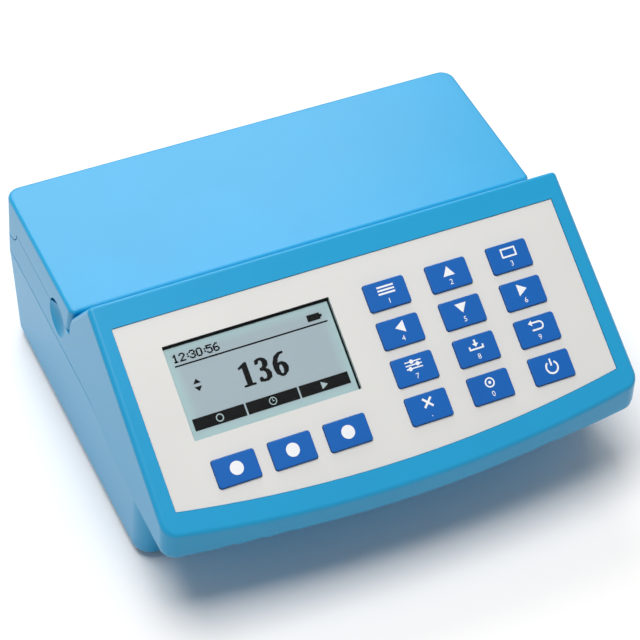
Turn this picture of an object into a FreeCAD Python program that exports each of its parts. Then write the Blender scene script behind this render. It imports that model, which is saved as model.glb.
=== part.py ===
import FreeCAD, Part
import math
import os
import types
import Sketcher

# Benchtop photometer: a sloping keypad and display in front, a hinged light-tight lid behind it,
# and the cuvette well, optics, boards and battery between two moulded shells.
# Millimetres. +Z is up, X runs to the right and the front faces -Y. The origin is on the table,
# under the middle of the whole instrument.

doc = FreeCAD.newDocument("photometer")
sheet = doc.addObject("Spreadsheet::Sheet", "Sizes")
Vector = FreeCAD.Vector


class Size:
    """A length, angle or ratio that carries the expression it came from."""

    def __init__(self, value, text):
        self.value = float(value)
        self.text = text

    def __add__(self, other):
        other = asSize(other)
        return Size(self.value + other.value, f"({self.text} + {other.text})")

    def __radd__(self, other):
        return asSize(other) + self

    def __sub__(self, other):
        other = asSize(other)
        return Size(self.value - other.value, f"({self.text} - {other.text})")

    def __rsub__(self, other):
        return asSize(other) - self

    def __mul__(self, other):
        other = asSize(other)
        return Size(self.value * other.value, f"({self.text} * {other.text})")

    def __rmul__(self, other):
        return asSize(other) * self

    def __truediv__(self, other):
        other = asSize(other)
        return Size(self.value / other.value, f"({self.text} / {other.text})")

    def __rtruediv__(self, other):
        return asSize(other) / self

    def __neg__(self):
        return Size(-self.value, f"(0 - {self.text})")


def asSize(number):
    return number if isinstance(number, Size) else Size(number, repr(float(number)))


def sine(angle):
    return Size(math.sin(math.radians(angle.value)), f"sin({angle.text})")


def cosine(angle):
    return Size(math.cos(math.radians(angle.value)), f"cos({angle.text})")


def tangent(angle):
    return Size(math.tan(math.radians(angle.value)), f"tan({angle.text})")


def arcTangent(ratio):
    return Size(math.degrees(math.atan(ratio.value)), f"atan({ratio.text})")


def root(square):
    return Size(math.sqrt(square.value), f"sqrt({square.text})")


DRIVING_SIZES = [
    ("caseWidth", 206, "across the shells at the front of their seam"),
    ("caseDepth", 182.4, "from the middle of the bowed front to the rear wall"),
    ("ridgeHeight", 97, "table to the top of the ridge behind the display"),
    ("wall", 2.5, "moulded wall of both shells"),
    ("footHeight", 3.2, "table to the base"),
    ("ridgePlace", -3.2, "ridge, in front of the middle"),
    ("chinHeight", 45.6, "table to the sharp lower edge of the panel at its middle"),
    ("bowRadius", 665, "bow of the front, seen from above"),
    ("upperDraft", 1.2, "draft of the upper shell and lid, degrees"),
    ("sideDraft", 1.8, "draft of the lower shell's sides, degrees"),
    ("rearDraft", 5.1, "draft of the lower shell's rear, degrees"),
    ("frontDraft", 7.2, "draft of the tub's front wall, degrees"),
    ("seamRear", 48.1, "table to the seam between the shells, behind"),
    ("seamFront", 40, "table to the seam at the front corners"),
    ("seamDip", 2.6, "how far the seam follows the bow down at the middle"),
    ("bendPlace", -17, "middle of the seam's bend on each side"),
    ("bendLength", 40, "length of that bend"),
    ("seamGap", 0.3, "open line between the two shells"),
    ("seamStep", 0.25, "lower shell set in behind the upper one"),
    ("tongueHeight", 2, "tongue of the lower shell inside the upper one"),
    ("rimBottom", 36.6, "table to the underside of the front overhang"),
    ("baseInset", 1.5, "base narrower than the seam on each side"),
    ("overhang", 37.6, "front panel beyond the tub's front at its base"),
    ("rearLean", 4.25, "base shorter than the shells at the rear"),
    ("frontCorner", 6.5, "upright corners at the front"),
    ("rearCorner", 6, "upright corners at the rear"),
    ("tubCorner", 8, "upright corners at the tub's front"),
    ("baseEdge", 2, "rounding of the base"),
    ("panelEdge", 2.2, "rounding of the panel's sides and lower edge"),
    ("ridgeRound", 1.2, "rounding of the ridge"),
    ("backFoot", 75.7, "table to the foot of the slope behind the ridge"),
    ("lidTop", 77.6, "table to the top of the lid"),
    ("lidSeam", 64, "table to the lower edge of the lid"),
    ("lidBehind", 17.6, "front of the lid at its top, behind the ridge"),
    ("lidLean", 3.1, "how far the lid's front leans back over its height"),
    ("lidWall", 2.3, "moulded wall of the lid"),
    ("lidGap", 0.5, "open line round the lid"),
    ("lidEdge", 1.6, "rounding of the lid's top edge"),
    ("hingeHeight", 65, "table to the hinge axis"),
    ("hingeInset", 7.4, "hinge axis in from the rear wall"),
    ("earRadius", 7.1, "round hinge ears of the lid"),
    ("earSwing", 1.4, "room under the ears for the lid's swing"),
    ("postRadius", 6.5, "round hinge posts of the upper shell"),
    ("earWide", 5.5, "hinge ear of the lid across"),
    ("postWide", 8, "hinge post across"),
    ("knuckleGap", 0.4, "side clearance of the hinge knuckles"),
    ("tabWide", 6.2, "hinge tab of the lid, inboard of the post"),
    ("pinRadius", 1.5, "steel hinge pins"),
    ("pinPlay", 0.05, "running clearance of the hinge pins"),
    ("deckHeight", 60, "table to the floor of the cuvette compartment"),
    ("deckThick", 2.5, "thickness of that floor"),
    ("rimHeight", 73.4, "table to the top of the light baffle round the compartment"),
    ("rimWall", 2, "thickness of the light baffle"),
    ("rimInset", 5, "light baffle in from the side"),
    ("rimBehind", 7.1, "light baffle behind the lid's front"),
    ("rimAhead", 11.6, "light baffle in front of the hinge axis"),
    ("gasketThick", 1.6, "foam gasket in the lid"),
    ("gasketWide", 5.4, "width of the foam gasket"),
    ("scoopRadius", 14, "finger scoop on each side, a shallow ball cut"),
    ("scoopBehind", 15.5, "finger scoops behind the lid's front"),
    ("scoopHeight", 60.5, "table to the middle of the finger scoops"),
    ("scoopDeep", 2.7, "depth of the finger scoops"),
    ("archRadius", 8.2, "arch in the lid's skirt over the finger scoops"),
    ("wellAhead", 22.2, "cuvette well in front of the baffle's rear"),
    ("wellRadius", 12.6, "bore for a 25 mm round cuvette"),
    ("wellBottom", 14, "table to the bottom of the well"),
    ("holderWall", 2.4, "wall of the cuvette holder"),
    ("flangeRadius", 19, "flange of the cuvette holder"),
    ("flangeThick", 1.5, "thickness of that flange"),
    ("sealThick", 0.8, "rubber ring under the flange"),
    ("fitGap", 0.2, "clearance of parts that drop into a seat"),
    ("beamHeight", 30, "table to the light beams"),
    ("beamRadius", 3, "light channels"),
    ("beamSpread", 30, "angle from one light channel to the next, degrees"),
    ("opticsHalf", 33, "optics block, from the well's axis to its faces"),
    ("opticsLow", 16, "table to the underside of the optics block"),
    ("opticsHigh", 44, "table to the top of the optics block"),
    ("sideMargin", 7.75, "bezel beside the keypad overlay"),
    ("lowerMargin", 9.92, "bezel below the overlay, along the slope"),
    ("ridgeMargin", 8.9, "overlay's upper edge in front of the ridge"),
    ("membraneThick", 0.5, "overlay sheet"),
    ("membraneBow", 569, "bow of the overlay's lower edge"),
    ("bezelStand", 0.4, "bezel above the overlay"),
    ("panelWall", 2.5, "panel under the overlay"),
    ("keyWide", 17.7, "keypad key across"),
    ("keyTall", 11.4, "keypad key along the slope"),
    ("keyCorner", 1.2, "corners of a key"),
    ("keyProud", 1.0, "key above the overlay"),
    ("keyEdge", 0.4, "rounding of a key's top"),
    ("keyGap", 0.2, "clearance round a key"),
    ("keyFlange", 0.8, "retaining flange round a key's foot"),
    ("keyFlangeThick", 0.9, "thickness of that flange"),
    ("keyPitch", 27.3, "between key columns"),
    ("keyUpper", 17.78, "first key row below the overlay's upper edge"),
    ("rowPitch", 15.88, "between key rows"),
    ("softPitch", 23.37, "between the keys below the display"),
    ("softAside", 0.04, "middle key below the display, left of the display's middle"),
    ("softRow", 65.24, "those keys below the overlay's upper edge"),
    ("leftSpare", 0.30474, "share of the overlay's spare width left of the display frame"),
    ("rightSpare", 0.43641, "share of it right of the keys"),
    ("windowDrop", 31.2, "middle of the display window below the overlay's edge"),
    ("windowWide", 70.3, "display window across"),
    ("windowTall", 38.4, "display window along the slope"),
    ("windowLip", 2.8, "hidden flange round the display window"),
    ("frameMargin", 3.9, "display frame beyond the window"),
    ("glassDeep", 1.6, "display glass below the overlay"),
    ("glassThick", 1.8, "display glass"),
    ("boardDeep", 5.4, "keypad board below the overlay"),
    ("boardThick", 1.6, "circuit boards"),
    ("keyBoardRoom", 1.5, "keypad board clear of the case screws' posts"),
    ("keyBoardTop", 1, "keypad board's upper edge along the slope"),
    ("boardBelow", 7.6, "keypad board below the last row of keys"),
    ("mainBoardHalf", 70, "main board, from the middle to its ends"),
    ("boardRoom", 5.6, "main board behind the tub's front"),
    ("opticsRoom", 3, "main board in front of the optics block"),
    ("mainBoardHeight", 12, "table to the main board"),
    ("portBoardHeight", 17, "table to the port board"),
    ("screwRadius", 1.5, "case screws"),
    ("screwHead", 2.75, "radius of their heads"),
    ("screwBoss", 4.5, "screw posts of the lower shell"),
    ("upperBoss", 4, "screw posts of the upper shell"),
    ("bossMeet", 30, "table to where the screw posts of the shells meet"),
    ("screwInset", 9, "case screws in from the side"),
    ("screwAhead", 11.7, "rear case screws in front of the rear wall"),
    ("screwBehind", 9.6, "front case screws behind the tub's front"),
    ("smallScrew", 1.1, "board screws"),
    ("smallHead", 2, "radius of their heads"),
    ("footRadius", 7, "rubber feet"),
    ("footSeat", 0.6, "shallow seats of the feet in the base"),
    ("footInset", 21, "feet in from the side"),
    ("footAhead", 26.2, "rear feet in front of the rear wall"),
    ("footBehind", 18.6, "front feet behind the tub's front"),
    ("cellInset", 17, "battery pack in from the side"),
    ("cellAhead", 15.2, "battery pack in front of the rear wall"),
    ("cellRoom", 9, "battery pack beside the optics block"),
    ("cellLong", 52, "battery pack from front to rear"),
    ("cellTall", 19, "battery pack's height"),
    ("jackInset", 22, "electrode socket in from the side"),
    ("jackRadius", 1.8, "bore of the electrode socket"),
]

s = types.SimpleNamespace()
for row, (alias, number, note) in enumerate(DRIVING_SIZES, start=1):
    sheet.set(f"A{row}", note)
    sheet.set(f"B{row}", str(number))
    sheet.setAlias(f"B{row}", alias)
    setattr(s, alias, Size(number, f"Sizes.{alias}"))
doc.recompute()


# Sizes worked out from the driving ones

halfWidth = s.caseWidth / 2
halfDepth = s.caseDepth / 2
planBase = s.seamFront - 4
panelDepth = s.membraneThick + s.panelWall

# The ridge's sharp corner lies above its rounding by about a third of the radius.
apexZ = s.ridgeHeight + 0.304 * s.ridgeRound
tilt = arcTangent((apexZ - s.chinHeight) / (s.ridgePlace + halfDepth))
overlayY = s.ridgePlace - s.ridgeMargin
overlayZ = s.chinHeight + (halfDepth + overlayY) * tangent(tilt) - s.bezelStand / cosine(tilt)
overlayHalf = halfWidth - s.sideMargin
overlayDrop = (overlayY + halfDepth) / cosine(tilt) - s.lowerMargin

lidFront = s.ridgePlace + s.lidBehind
slopeFoot = lidFront - s.lidGap
backRate = (apexZ - s.backFoot) / (slopeFoot - s.ridgePlace)
backSecant = root(1 + backRate * backRate)
lidLeanRate = s.lidLean / (s.lidTop - s.lidSeam)
lidHalf = halfWidth - (s.lidSeam - s.seamFront) * tangent(s.upperDraft)
seatZ = s.lidSeam - s.seamGap
wallFoot = slopeFoot + (s.backFoot - seatZ) * lidLeanRate
hingeY = halfDepth - s.hingeInset
troughRadius = s.earRadius + s.lidGap
earFloor = s.hingeHeight - s.earRadius - s.earSwing
earInner = lidHalf - s.earWide
postOuter = earInner - s.knuckleGap
postInner = postOuter - s.postWide
tabOuter = postInner - s.knuckleGap
tabInner = tabOuter - s.tabWide
pinInner = tabInner + 1
pinOuter = earInner + 4

rimSide = lidHalf - s.rimInset
rimFront = lidFront + s.rimBehind
rimRear = hingeY - s.rimAhead
wellY = rimRear - s.wellAhead
scoopY = lidFront + s.scoopBehind
deckUnder = s.deckHeight - s.deckThick
innerFloor = s.footHeight + s.wall
holderTop = s.deckHeight + s.sealThick + s.flangeThick
holderRadius = s.wellRadius + s.holderWall
windowFlangeDeep = s.glassDeep - s.seamGap

tubFront = s.overhang - halfDepth
tubRear = halfDepth - s.rearLean
keyBoardHalf = halfWidth - s.screwInset - s.upperBoss - s.keyBoardRoom
keyBoardLow = s.keyUpper + 3 * s.rowPitch + s.keyTall / 2 + s.boardBelow
frameHalf = s.windowWide / 2 + s.frameMargin
keysHalf = s.keyPitch + s.keyWide / 2
spareWidth = 2 * (overlayHalf - frameHalf - keysHalf)
windowX = frameHalf - overlayHalf + s.leftSpare * spareWidth
keysX = overlayHalf - keysHalf - s.rightSpare * spareWidth
mainBoardFront = tubFront + s.boardRoom
mainBoardRear = wellY - s.opticsHalf - s.opticsRoom
boardTopZ = s.mainBoardHeight + s.boardThick
portTopZ = s.portBoardHeight + s.boardThick


# Helpers

def bind(item, field, size):
    """Ties one field of a document object to the sheet."""
    item.setExpression(field, asSize(size).text)


def newBody(label):
    body = doc.addObject("PartDesign::Body", label)
    body.Label = label
    return body


def sketchOn(body, role, name, away=0):
    """An empty sketch flat on one of the body's own origin planes, moved off it by a distance."""
    sketch = body.newObject("Sketcher::SketchObject", name)
    base = [feature for feature in body.Origin.OriginFeatures if feature.Role == role][0]
    sketch.AttachmentSupport = [(base, "")]
    sketch.MapMode = "FlatFace"
    away = asSize(away)
    if away.text != "0.0":
        sketch.AttachmentOffset = FreeCAD.Placement(Vector(0, 0, away.value), FreeCAD.Rotation())
        bind(sketch, "AttachmentOffset.Base.z", away)
    return sketch


def fixPoint(sketch, curve, end, x, y, tag):
    """Places one end of a curve by its distances from the sketch's origin."""
    for kind, word, size in (("DistanceX", "across", asSize(x)), ("DistanceY", "along", asSize(y))):
        number = sketch.addConstraint(Sketcher.Constraint(kind, -1, 1, curve, end, size.value))
        sketch.renameConstraint(number, word + tag)
        bind(sketch, "Constraints." + word + tag, size)


def loop(sketch, corners, arcs=None):
    """A closed outline through the corners. arcs holds, for an edge's number, a point that the
    arc passes through and its radius; every other edge is straight."""
    arcs = arcs or {}
    first = sketch.GeometryCount
    count = len(corners)
    places = [(asSize(x), asSize(y)) for x, y in corners]
    points = [Vector(x.value, y.value, 0) for x, y in places]
    for index in range(count):
        start, end = points[index], points[(index + 1) % count]
        if index in arcs:
            sketch.addGeometry(Part.Arc(start, Vector(*arcs[index][0], 0), end), False)
        else:
            sketch.addGeometry(Part.LineSegment(start, end), False)
    for index in range(count):
        # An arc keeps its own sense of turning, so its ends are found by place.
        ends = [1, 2]
        curve = first + index
        if (sketch.getPoint(curve, 1) - points[index]).Length > (sketch.getPoint(curve, 2) - points[index]).Length:
            ends = [2, 1]
        after = first + (index + 1) % count
        meets = 1
        target = points[(index + 1) % count]
        if (sketch.getPoint(after, 1) - target).Length > (sketch.getPoint(after, 2) - target).Length:
            meets = 2
        sketch.addConstraint(Sketcher.Constraint("Coincident", curve, ends[1], after, meets))
        fixPoint(sketch, curve, ends[0], places[index][0], places[index][1], f"Of{curve}")
        if index in arcs:
            radius = arcs[index][1]
            rule = sketch.addConstraint(Sketcher.Constraint("Radius", curve, sketch.Geometry[curve].Radius))
            sketch.renameConstraint(rule, f"radiusOf{curve}")
            bind(sketch, f"Constraints.radiusOf{curve}", radius)


def rectangle(sketch, left, right, low, high):
    loop(sketch, [(left, low), (right, low), (right, high), (left, high)])


def centred(sketch, x, y, wide, tall):
    rectangle(sketch, x - wide / 2, x + wide / 2, y - tall / 2, y + tall / 2)


def circle(sketch, x, y, radius):
    radius = asSize(radius)
    x, y = asSize(x), asSize(y)
    number = sketch.addGeometry(Part.Circle(Vector(x.value, y.value, 0), Vector(0, 0, 1), radius.value), False)
    rule = sketch.addConstraint(Sketcher.Constraint("Radius", number, radius.value))
    sketch.renameConstraint(rule, f"radiusOf{number}")
    bind(sketch, f"Constraints.radiusOf{number}", radius)
    fixPoint(sketch, number, 3, x, y, f"Of{number}")


def bowed(sketch, half, front, rear, radius):
    """Straight sides and rear, and a front that bows towards -Y on the given radius."""
    half, front, rear = asSize(half), asSize(front), asSize(rear)
    ends = front + radius - root(radius * radius - half * half)
    loop(sketch, [(-half, ends), (half, ends), (half, rear), (-half, rear)],
         {0: ((0, front.value), radius)})


def pad(body, sketch, length, middle=False, down=False):
    feature = body.newObject("PartDesign::Pad", "Pad")
    feature.Profile = sketch
    feature.Midplane = middle
    feature.Reversed = down
    feature.Length = asSize(length).value
    bind(feature, "Length", length)
    doc.recompute()
    return feature


def pocket(body, sketch, depth=None, up=False):
    """Cuts a sketch down into the body, or right through both ways when no depth is given."""
    before = body.Shape.Volume
    feature = body.newObject("PartDesign::Pocket", "Pocket")
    feature.Profile = sketch
    if depth is None:
        feature.Type = 1
        feature.Midplane = True
    else:
        feature.Reversed = up
        feature.Length = asSize(depth).value
        bind(feature, "Length", depth)
    doc.recompute()
    if not feature.Shape.Volume < before:
        raise RuntimeError(f"{body.Label}: {feature.Name} cuts nothing")
    return feature


def faceNames(shape, test):
    return [f"Face{number}" for number, face in enumerate(shape.Faces, start=1) if test(face)]


def edgeNames(shape, test):
    return [f"Edge{number}" for number, edge in enumerate(shape.Edges, start=1) if test(edge)]


def middleNormal(face):
    low, high, left, right = face.ParameterRange
    return face.normalAt((low + high) / 2, (left + right) / 2)


def draft(body, base, test, angle, widens=False):
    """Leans the chosen faces about the bottom of the body."""
    lowest = base.Shape.BoundBox.ZMin
    flat = faceNames(base.Shape, lambda face: face.BoundBox.ZMax < lowest + 0.1)
    feature = body.newObject("PartDesign::Draft", "Draft")
    feature.Base = (base, faceNames(base.Shape, test))
    feature.NeutralPlane = (base, [flat[0]])
    feature.Angle = angle.value
    bind(feature, "Angle", angle)
    feature.Reversed = widens
    doc.recompute()
    return feature


def fillet(body, base, test, radius, kind="Fillet"):
    """Rounds, or with kind Chamfer bevels, every edge that passes the test."""
    names = edgeNames(base.Shape, test)
    if not names:
        raise RuntimeError(f"{body.Label}: no edge to round")
    feature = body.newObject("PartDesign::" + kind, kind)
    feature.Base = (base, names)
    field = "Radius" if kind == "Fillet" else "Size"
    setattr(feature, field, asSize(radius).value)
    bind(feature, field, radius)
    doc.recompute()
    return feature


def isUpright(edge):
    """Edges that run mostly up and down."""
    span = edge.BoundBox
    return span.ZLength > 1 and span.ZLength > 3 * max(span.XLength, span.YLength)


def cut(label, base, *tools):
    """Takes the tools away from the base."""
    tool = tools[0] if len(tools) == 1 else compound(label + "Tools", tools)
    result = doc.addObject("Part::Cut", label)
    result.Base = base
    result.Tool = tool
    result.Refine = True
    doc.recompute()
    return result


def fuse(label, *items):
    result = doc.addObject("Part::MultiFuse", label)
    result.Shapes = list(items)
    result.Refine = True
    doc.recompute()
    return result


def common(label, *items):
    result = doc.addObject("Part::MultiCommon", label)
    result.Shapes = list(items)
    doc.recompute()
    return result


def compound(label, items):
    result = doc.addObject("Part::Compound", label)
    result.Links = list(items)
    doc.recompute()
    return result


def block(label, across, along, up):
    """A plain box from its low and high limits in x, y and z."""
    box = doc.addObject("Part::Box", label)
    for axis, field, (low, high) in (("x", "Length", across), ("y", "Width", along), ("z", "Height", up)):
        low, high = asSize(low), asSize(high)
        size = high - low
        setattr(box, field, size.value)
        bind(box, field, size)
        setattr(box.Placement.Base, axis, low.value)
        bind(box, "Placement.Base." + axis, low)
    return box


TURNS = {"z": Vector(0, 0, 1), "x": Vector(1, 0, 0), "y": Vector(0, 1, 0), "-y": Vector(0, -1, 0)}


def rod(label, radius, length, x, y, z, along="z"):
    """A round bar that starts at a point and runs along an axis."""
    bar = doc.addObject("Part::Cylinder", label)
    radius, length = asSize(radius), asSize(length)
    bar.Radius = radius.value
    bar.Height = length.value
    bind(bar, "Radius", radius)
    bind(bar, "Height", length)
    bar.Placement = FreeCAD.Placement(Vector(0, 0, 0), FreeCAD.Rotation(Vector(0, 0, 1), TURNS[along]))
    place(bar, x, y, z)
    return bar


def place(item, x, y, z):
    """Moves an item to a point bound to the sheet and leaves its turn alone."""
    sizes = [asSize(x), asSize(y), asSize(z)]
    item.Placement.Base = Vector(*[size.value for size in sizes])
    for axis, size in zip("xyz", sizes):
        bind(item, "Placement.Base." + axis, size)
    return item


def ontoPanel(item):
    """Lays a flat drawn piece onto the sloping panel: x across, y up the slope, z out of it."""
    item.Placement = FreeCAD.Placement(Vector(0, 0, 0), FreeCAD.Rotation(Vector(1, 0, 0), tilt.value))
    bind(item, "Placement.Rotation.Angle", tilt)
    return place(item, 0, overlayY, overlayZ)


def panelPoint(drop, height):
    """Y and Z of a point on the panel, from its distance down the slope and its height above the overlay."""
    y = overlayY - drop * cosine(tilt) - height * sine(tilt)
    z = overlayZ - drop * sine(tilt) + height * cosine(tilt)
    return y, z


def bezelLine(y, below=0):
    """Height of the bezel's face at a place from front to rear, less a thickness."""
    return s.chinHeight + (y + halfDepth) * tangent(tilt) - asSize(below) / cosine(tilt)


nodes = {}


def keep(name, item):
    """Lists a finished sub-part under the name of its file."""
    item.Label = name
    nodes[name] = item
    return item


SIDES = (("Left", -1), ("Right", 1))


def mirroredBlock(label, side, inner, outer, along, up):
    """A box on the left or the right of the middle."""
    inner, outer = asSize(inner), asSize(outer)
    across = (inner, outer) if side > 0 else (-outer, -inner)
    return block(label, across, along, up)


def crossRod(label, side, radius, inner, outer, y, z):
    """A round bar across the instrument, on the left or the right of the middle."""
    inner, outer = asSize(inner), asSize(outer)
    start = inner if side > 0 else -outer
    return rod(label, radius, outer - inner, start, y, z, "x")


KEY_PLACES = [(keysX + column * s.keyPitch, s.keyUpper + line * s.rowPitch)
              for line in range(4) for column in (-1, 0, 1)]
SOFT_PLACES = [(windowX - s.softAside + column * s.softPitch, s.softRow) for column in (-1, 0, 1)]
ALL_KEYS = KEY_PLACES + SOFT_PLACES
PANEL_SCREWS = [(x, drop) for drop in (s.keyBoardTop + 4, keyBoardLow - 4)
                for x in (2.5 - keyBoardHalf, -1, keyBoardHalf - 2.5)]
CASE_SCREWS = [(side * (halfWidth - s.screwInset), y) for side in (-1, 1)
               for y in (halfDepth - s.screwAhead, tubFront + s.screwBehind)]
FEET = [(side * (halfWidth - s.footInset), y) for side in (-1, 1)
        for y in (halfDepth - s.footAhead, tubFront + s.footBehind)]


# Outer and inner forms of the two shells

def upperPlan(label, inset, high=None):
    """The plan of the upper shell and lid as a drafted block, less an inset all round."""
    body = newBody(label)
    inset = asSize(inset)
    lean = tangent(s.upperDraft)
    low = s.seamFront - planBase
    outline = sketchOn(body, "XY_Plane", label + "Plan", planBase)
    bowed(outline, halfWidth + low * lean - inset, inset - halfDepth - (low - s.seamDip) * lean,
          halfDepth + (s.seamRear - planBase) * lean - inset, s.bowRadius - inset)
    form = pad(body, outline, (high or s.ridgeHeight + 4) - planBase)
    form = draft(body, form, lambda face: abs(middleNormal(face).z) < 0.1, s.upperDraft)
    form = fillet(body, form, lambda edge: isUpright(edge) and edge.BoundBox.YMax < 0, s.frontCorner - inset)
    rear = s.rearCorner - inset
    form = fillet(body, form, lambda edge: isUpright(edge) and edge.BoundBox.YMin > halfDepth.value - 6, rear)
    return body, form


def cutProfile(body, name, corners, arcs=None, keepInside=False):
    """Takes away what lies inside a side-view outline, right across, or with keepInside all else."""
    side = sketchOn(body, "YZ_Plane", name)
    if keepInside:
        rectangle(side, -halfDepth - 20, halfDepth + 20, 0, s.ridgeHeight + 20)
    loop(side, corners, arcs)
    return pocket(body, side)


def seamOutline(shift, cap):
    """Side view of all that lies above the shells' seam moved up by shift, or below it with a low cap."""
    shift = asSize(shift)
    rear = halfDepth + 10
    front = -halfDepth - 2
    radius = (s.bendLength * s.bendLength / (s.seamRear - s.seamFront) + s.seamRear - s.seamFront) / 4
    high, low = s.seamRear + shift, s.seamFront + shift
    middle = (high + low) / 2
    start, end = s.bendPlace + s.bendLength / 2, s.bendPlace - s.bendLength / 2
    quarter = s.bendLength.value / 4
    sag = radius.value - math.sqrt(radius.value ** 2 - quarter ** 2)
    slopeStart = s.seamDip / tangent(tilt) + 0.7 - halfDepth
    corners = [(rear, high), (start, high), (s.bendPlace, middle), (end, low), (slopeStart, low),
               (front, low - (slopeStart - front) * tangent(tilt)), (front, cap), (rear, cap)]
    arcs = {1: ((start.value - quarter, high.value - sag), radius),
            2: ((end.value + quarter, low.value + sag), radius)}
    return corners, arcs


def tubPlan(label, inset):
    """The tub of the lower shell as a drafted block, less an inset at the sides and the floor."""
    body = newBody(label)
    inset = asSize(inset)
    outline = sketchOn(body, "XY_Plane", label + "Plan", s.footHeight + inset)
    half = halfWidth - s.baseInset - inset + inset * tangent(s.sideDraft)
    front = tubFront + inset - inset * tangent(s.frontDraft)
    rear = tubRear - inset + inset * tangent(s.rearDraft)
    rectangle(outline, -half, half, front, rear)
    form = pad(body, outline, s.seamRear + 6 - s.footHeight - inset)
    form = draft(body, form, lambda face: abs(middleNormal(face).x) > 0.9, s.sideDraft, True)
    form = draft(body, form, lambda face: middleNormal(face).y > 0.9, s.rearDraft, True)
    form = draft(body, form, lambda face: middleNormal(face).y < -0.9, s.frontDraft, True)
    form = fillet(body, form, lambda edge: isUpright(edge) and edge.BoundBox.YMax < 0, s.tubCorner - inset)
    form = fillet(body, form, lambda edge: isUpright(edge) and edge.BoundBox.YMin > 0, s.rearCorner - inset)
    return body, form


def shelfPlan(label, inset):
    """The overhang of the lower shell under the front panel, less an inset."""
    body = newBody(label)
    inset = asSize(inset)
    outline = sketchOn(body, "XY_Plane", label + "Plan", s.rimBottom + inset)
    bowed(outline, halfWidth - s.seamStep - inset, inset + s.seamStep - halfDepth, -30,
          s.bowRadius - inset - s.seamStep)
    form = pad(body, outline, s.seamFront + 6 - s.rimBottom - inset)
    form = fillet(body, form, lambda edge: isUpright(edge) and edge.BoundBox.YMax < -60, s.frontCorner - inset)
    return body, form


# Upper shell

def isPanelEdge(edge):
    """The two sides, the corners and the bowed lower edge of the bezel's face."""
    lean = math.radians(tilt.value)
    for point in edge.discretize(7):
        above = (point.z - s.chinHeight.value) * math.cos(lean) - (point.y + halfDepth.value) * math.sin(lean)
        if abs(above) > 0.05:
            return False
    return edge.BoundBox.YLength > 0.5


def isRidgeEdge(edge):
    span = edge.BoundBox
    return span.ZMin > apexZ.value - 0.2 and span.XLength > halfWidth.value


def isBackEdge(edge):
    """The two side edges of the slope behind the ridge."""
    span = edge.BoundBox
    return span.XMin * span.XMax > 0 and span.YMin > s.ridgePlace.value - 1 and span.YMax < slopeFoot.value + 0.5 \
        and span.ZMin > s.backFoot.value - 1 and span.YLength > 5 and span.ZLength > 5


def makeUpperOuter():
    body, form = upperPlan("upperOuter", 0)
    front, rear, top = -halfDepth - 12, halfDepth + 12, s.ridgeHeight + 20
    form = cutProfile(body, "upperTop", [
        (front, bezelLine(front)), (s.ridgePlace, apexZ), (slopeFoot, s.backFoot), (wallFoot, seatZ),
        (rear, seatZ), (rear, top), (front, top)])
    corners, arcs = seamOutline(s.seamGap / 2, 20)
    form = cutProfile(body, "upperSeam", corners, arcs)
    form = fillet(body, form, lambda edge: isPanelEdge(edge) or isBackEdge(edge), s.panelEdge)
    form = fillet(body, form, isRidgeEdge, s.ridgeRound)
    rim = sketchOn(body, "XY_Plane", "baffleOutside", deckUnder + 1)
    rectangle(rim, -rimSide, rimSide, rimFront, rimRear)
    form = pad(body, rim, s.rimHeight - deckUnder - 1)
    well = sketchOn(body, "XY_Plane", "baffleInside", s.rimHeight)
    inside = rimSide - s.rimWall
    rectangle(well, -inside, inside, rimFront + s.rimWall, rimRear - s.rimWall)
    form = pocket(body, well, s.rimHeight - s.deckHeight)
    start, bottom = hingeY - troughRadius, s.hingeHeight - troughRadius
    slant = troughRadius.value * math.sqrt(0.5)
    curve = {0: ((hingeY.value - slant, s.hingeHeight.value - slant), troughRadius)}
    cutProfile(body, "hingeTrough", [
        (start, s.hingeHeight), (hingeY, bottom), (hingeY, earFloor), (rear, earFloor),
        (rear, s.hingeHeight + 3), (start, s.hingeHeight + 3)], curve)
    return body


def makeUpperHollow():
    """The room inside the upper shell."""
    body, form = upperPlan("upperHollow", s.wall)
    front, rear, top = -halfDepth - 12, halfDepth + 12, s.ridgeHeight + 20
    under = s.bezelStand + panelDepth
    apexDrop = s.wall * backSecant
    innerApex = (apexZ + s.ridgePlace * backRate - apexDrop - bezelLine(0, under)) / (tangent(tilt) + backRate)
    upright = slopeFoot - s.wall
    uprightZ = apexZ - (upright - s.ridgePlace) * backRate - apexDrop
    foot = wallFoot + (seatZ - deckUnder) * lidLeanRate - s.wall
    trough = hingeY - troughRadius - s.wall
    cutProfile(body, "innerTop", [
        (front, bezelLine(front, under)), (innerApex, bezelLine(innerApex, under)), (upright, uprightZ),
        (foot, deckUnder), (trough, deckUnder), (trough, earFloor - s.wall), (rear, earFloor - s.wall),
        (rear, top), (front, top)])
    return body


def makeRebate():
    """The step inside the upper shell's lower edge that the lower shell's tongue stands in."""
    body, form = upperPlan("rebateForm", s.wall / 2 - s.fitGap, s.seamRear + 8)
    corners, arcs = seamOutline(s.tongueHeight + s.seamGap, s.seamRear + 40)
    cutProfile(body, "rebateTop", corners, arcs)
    return body


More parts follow.
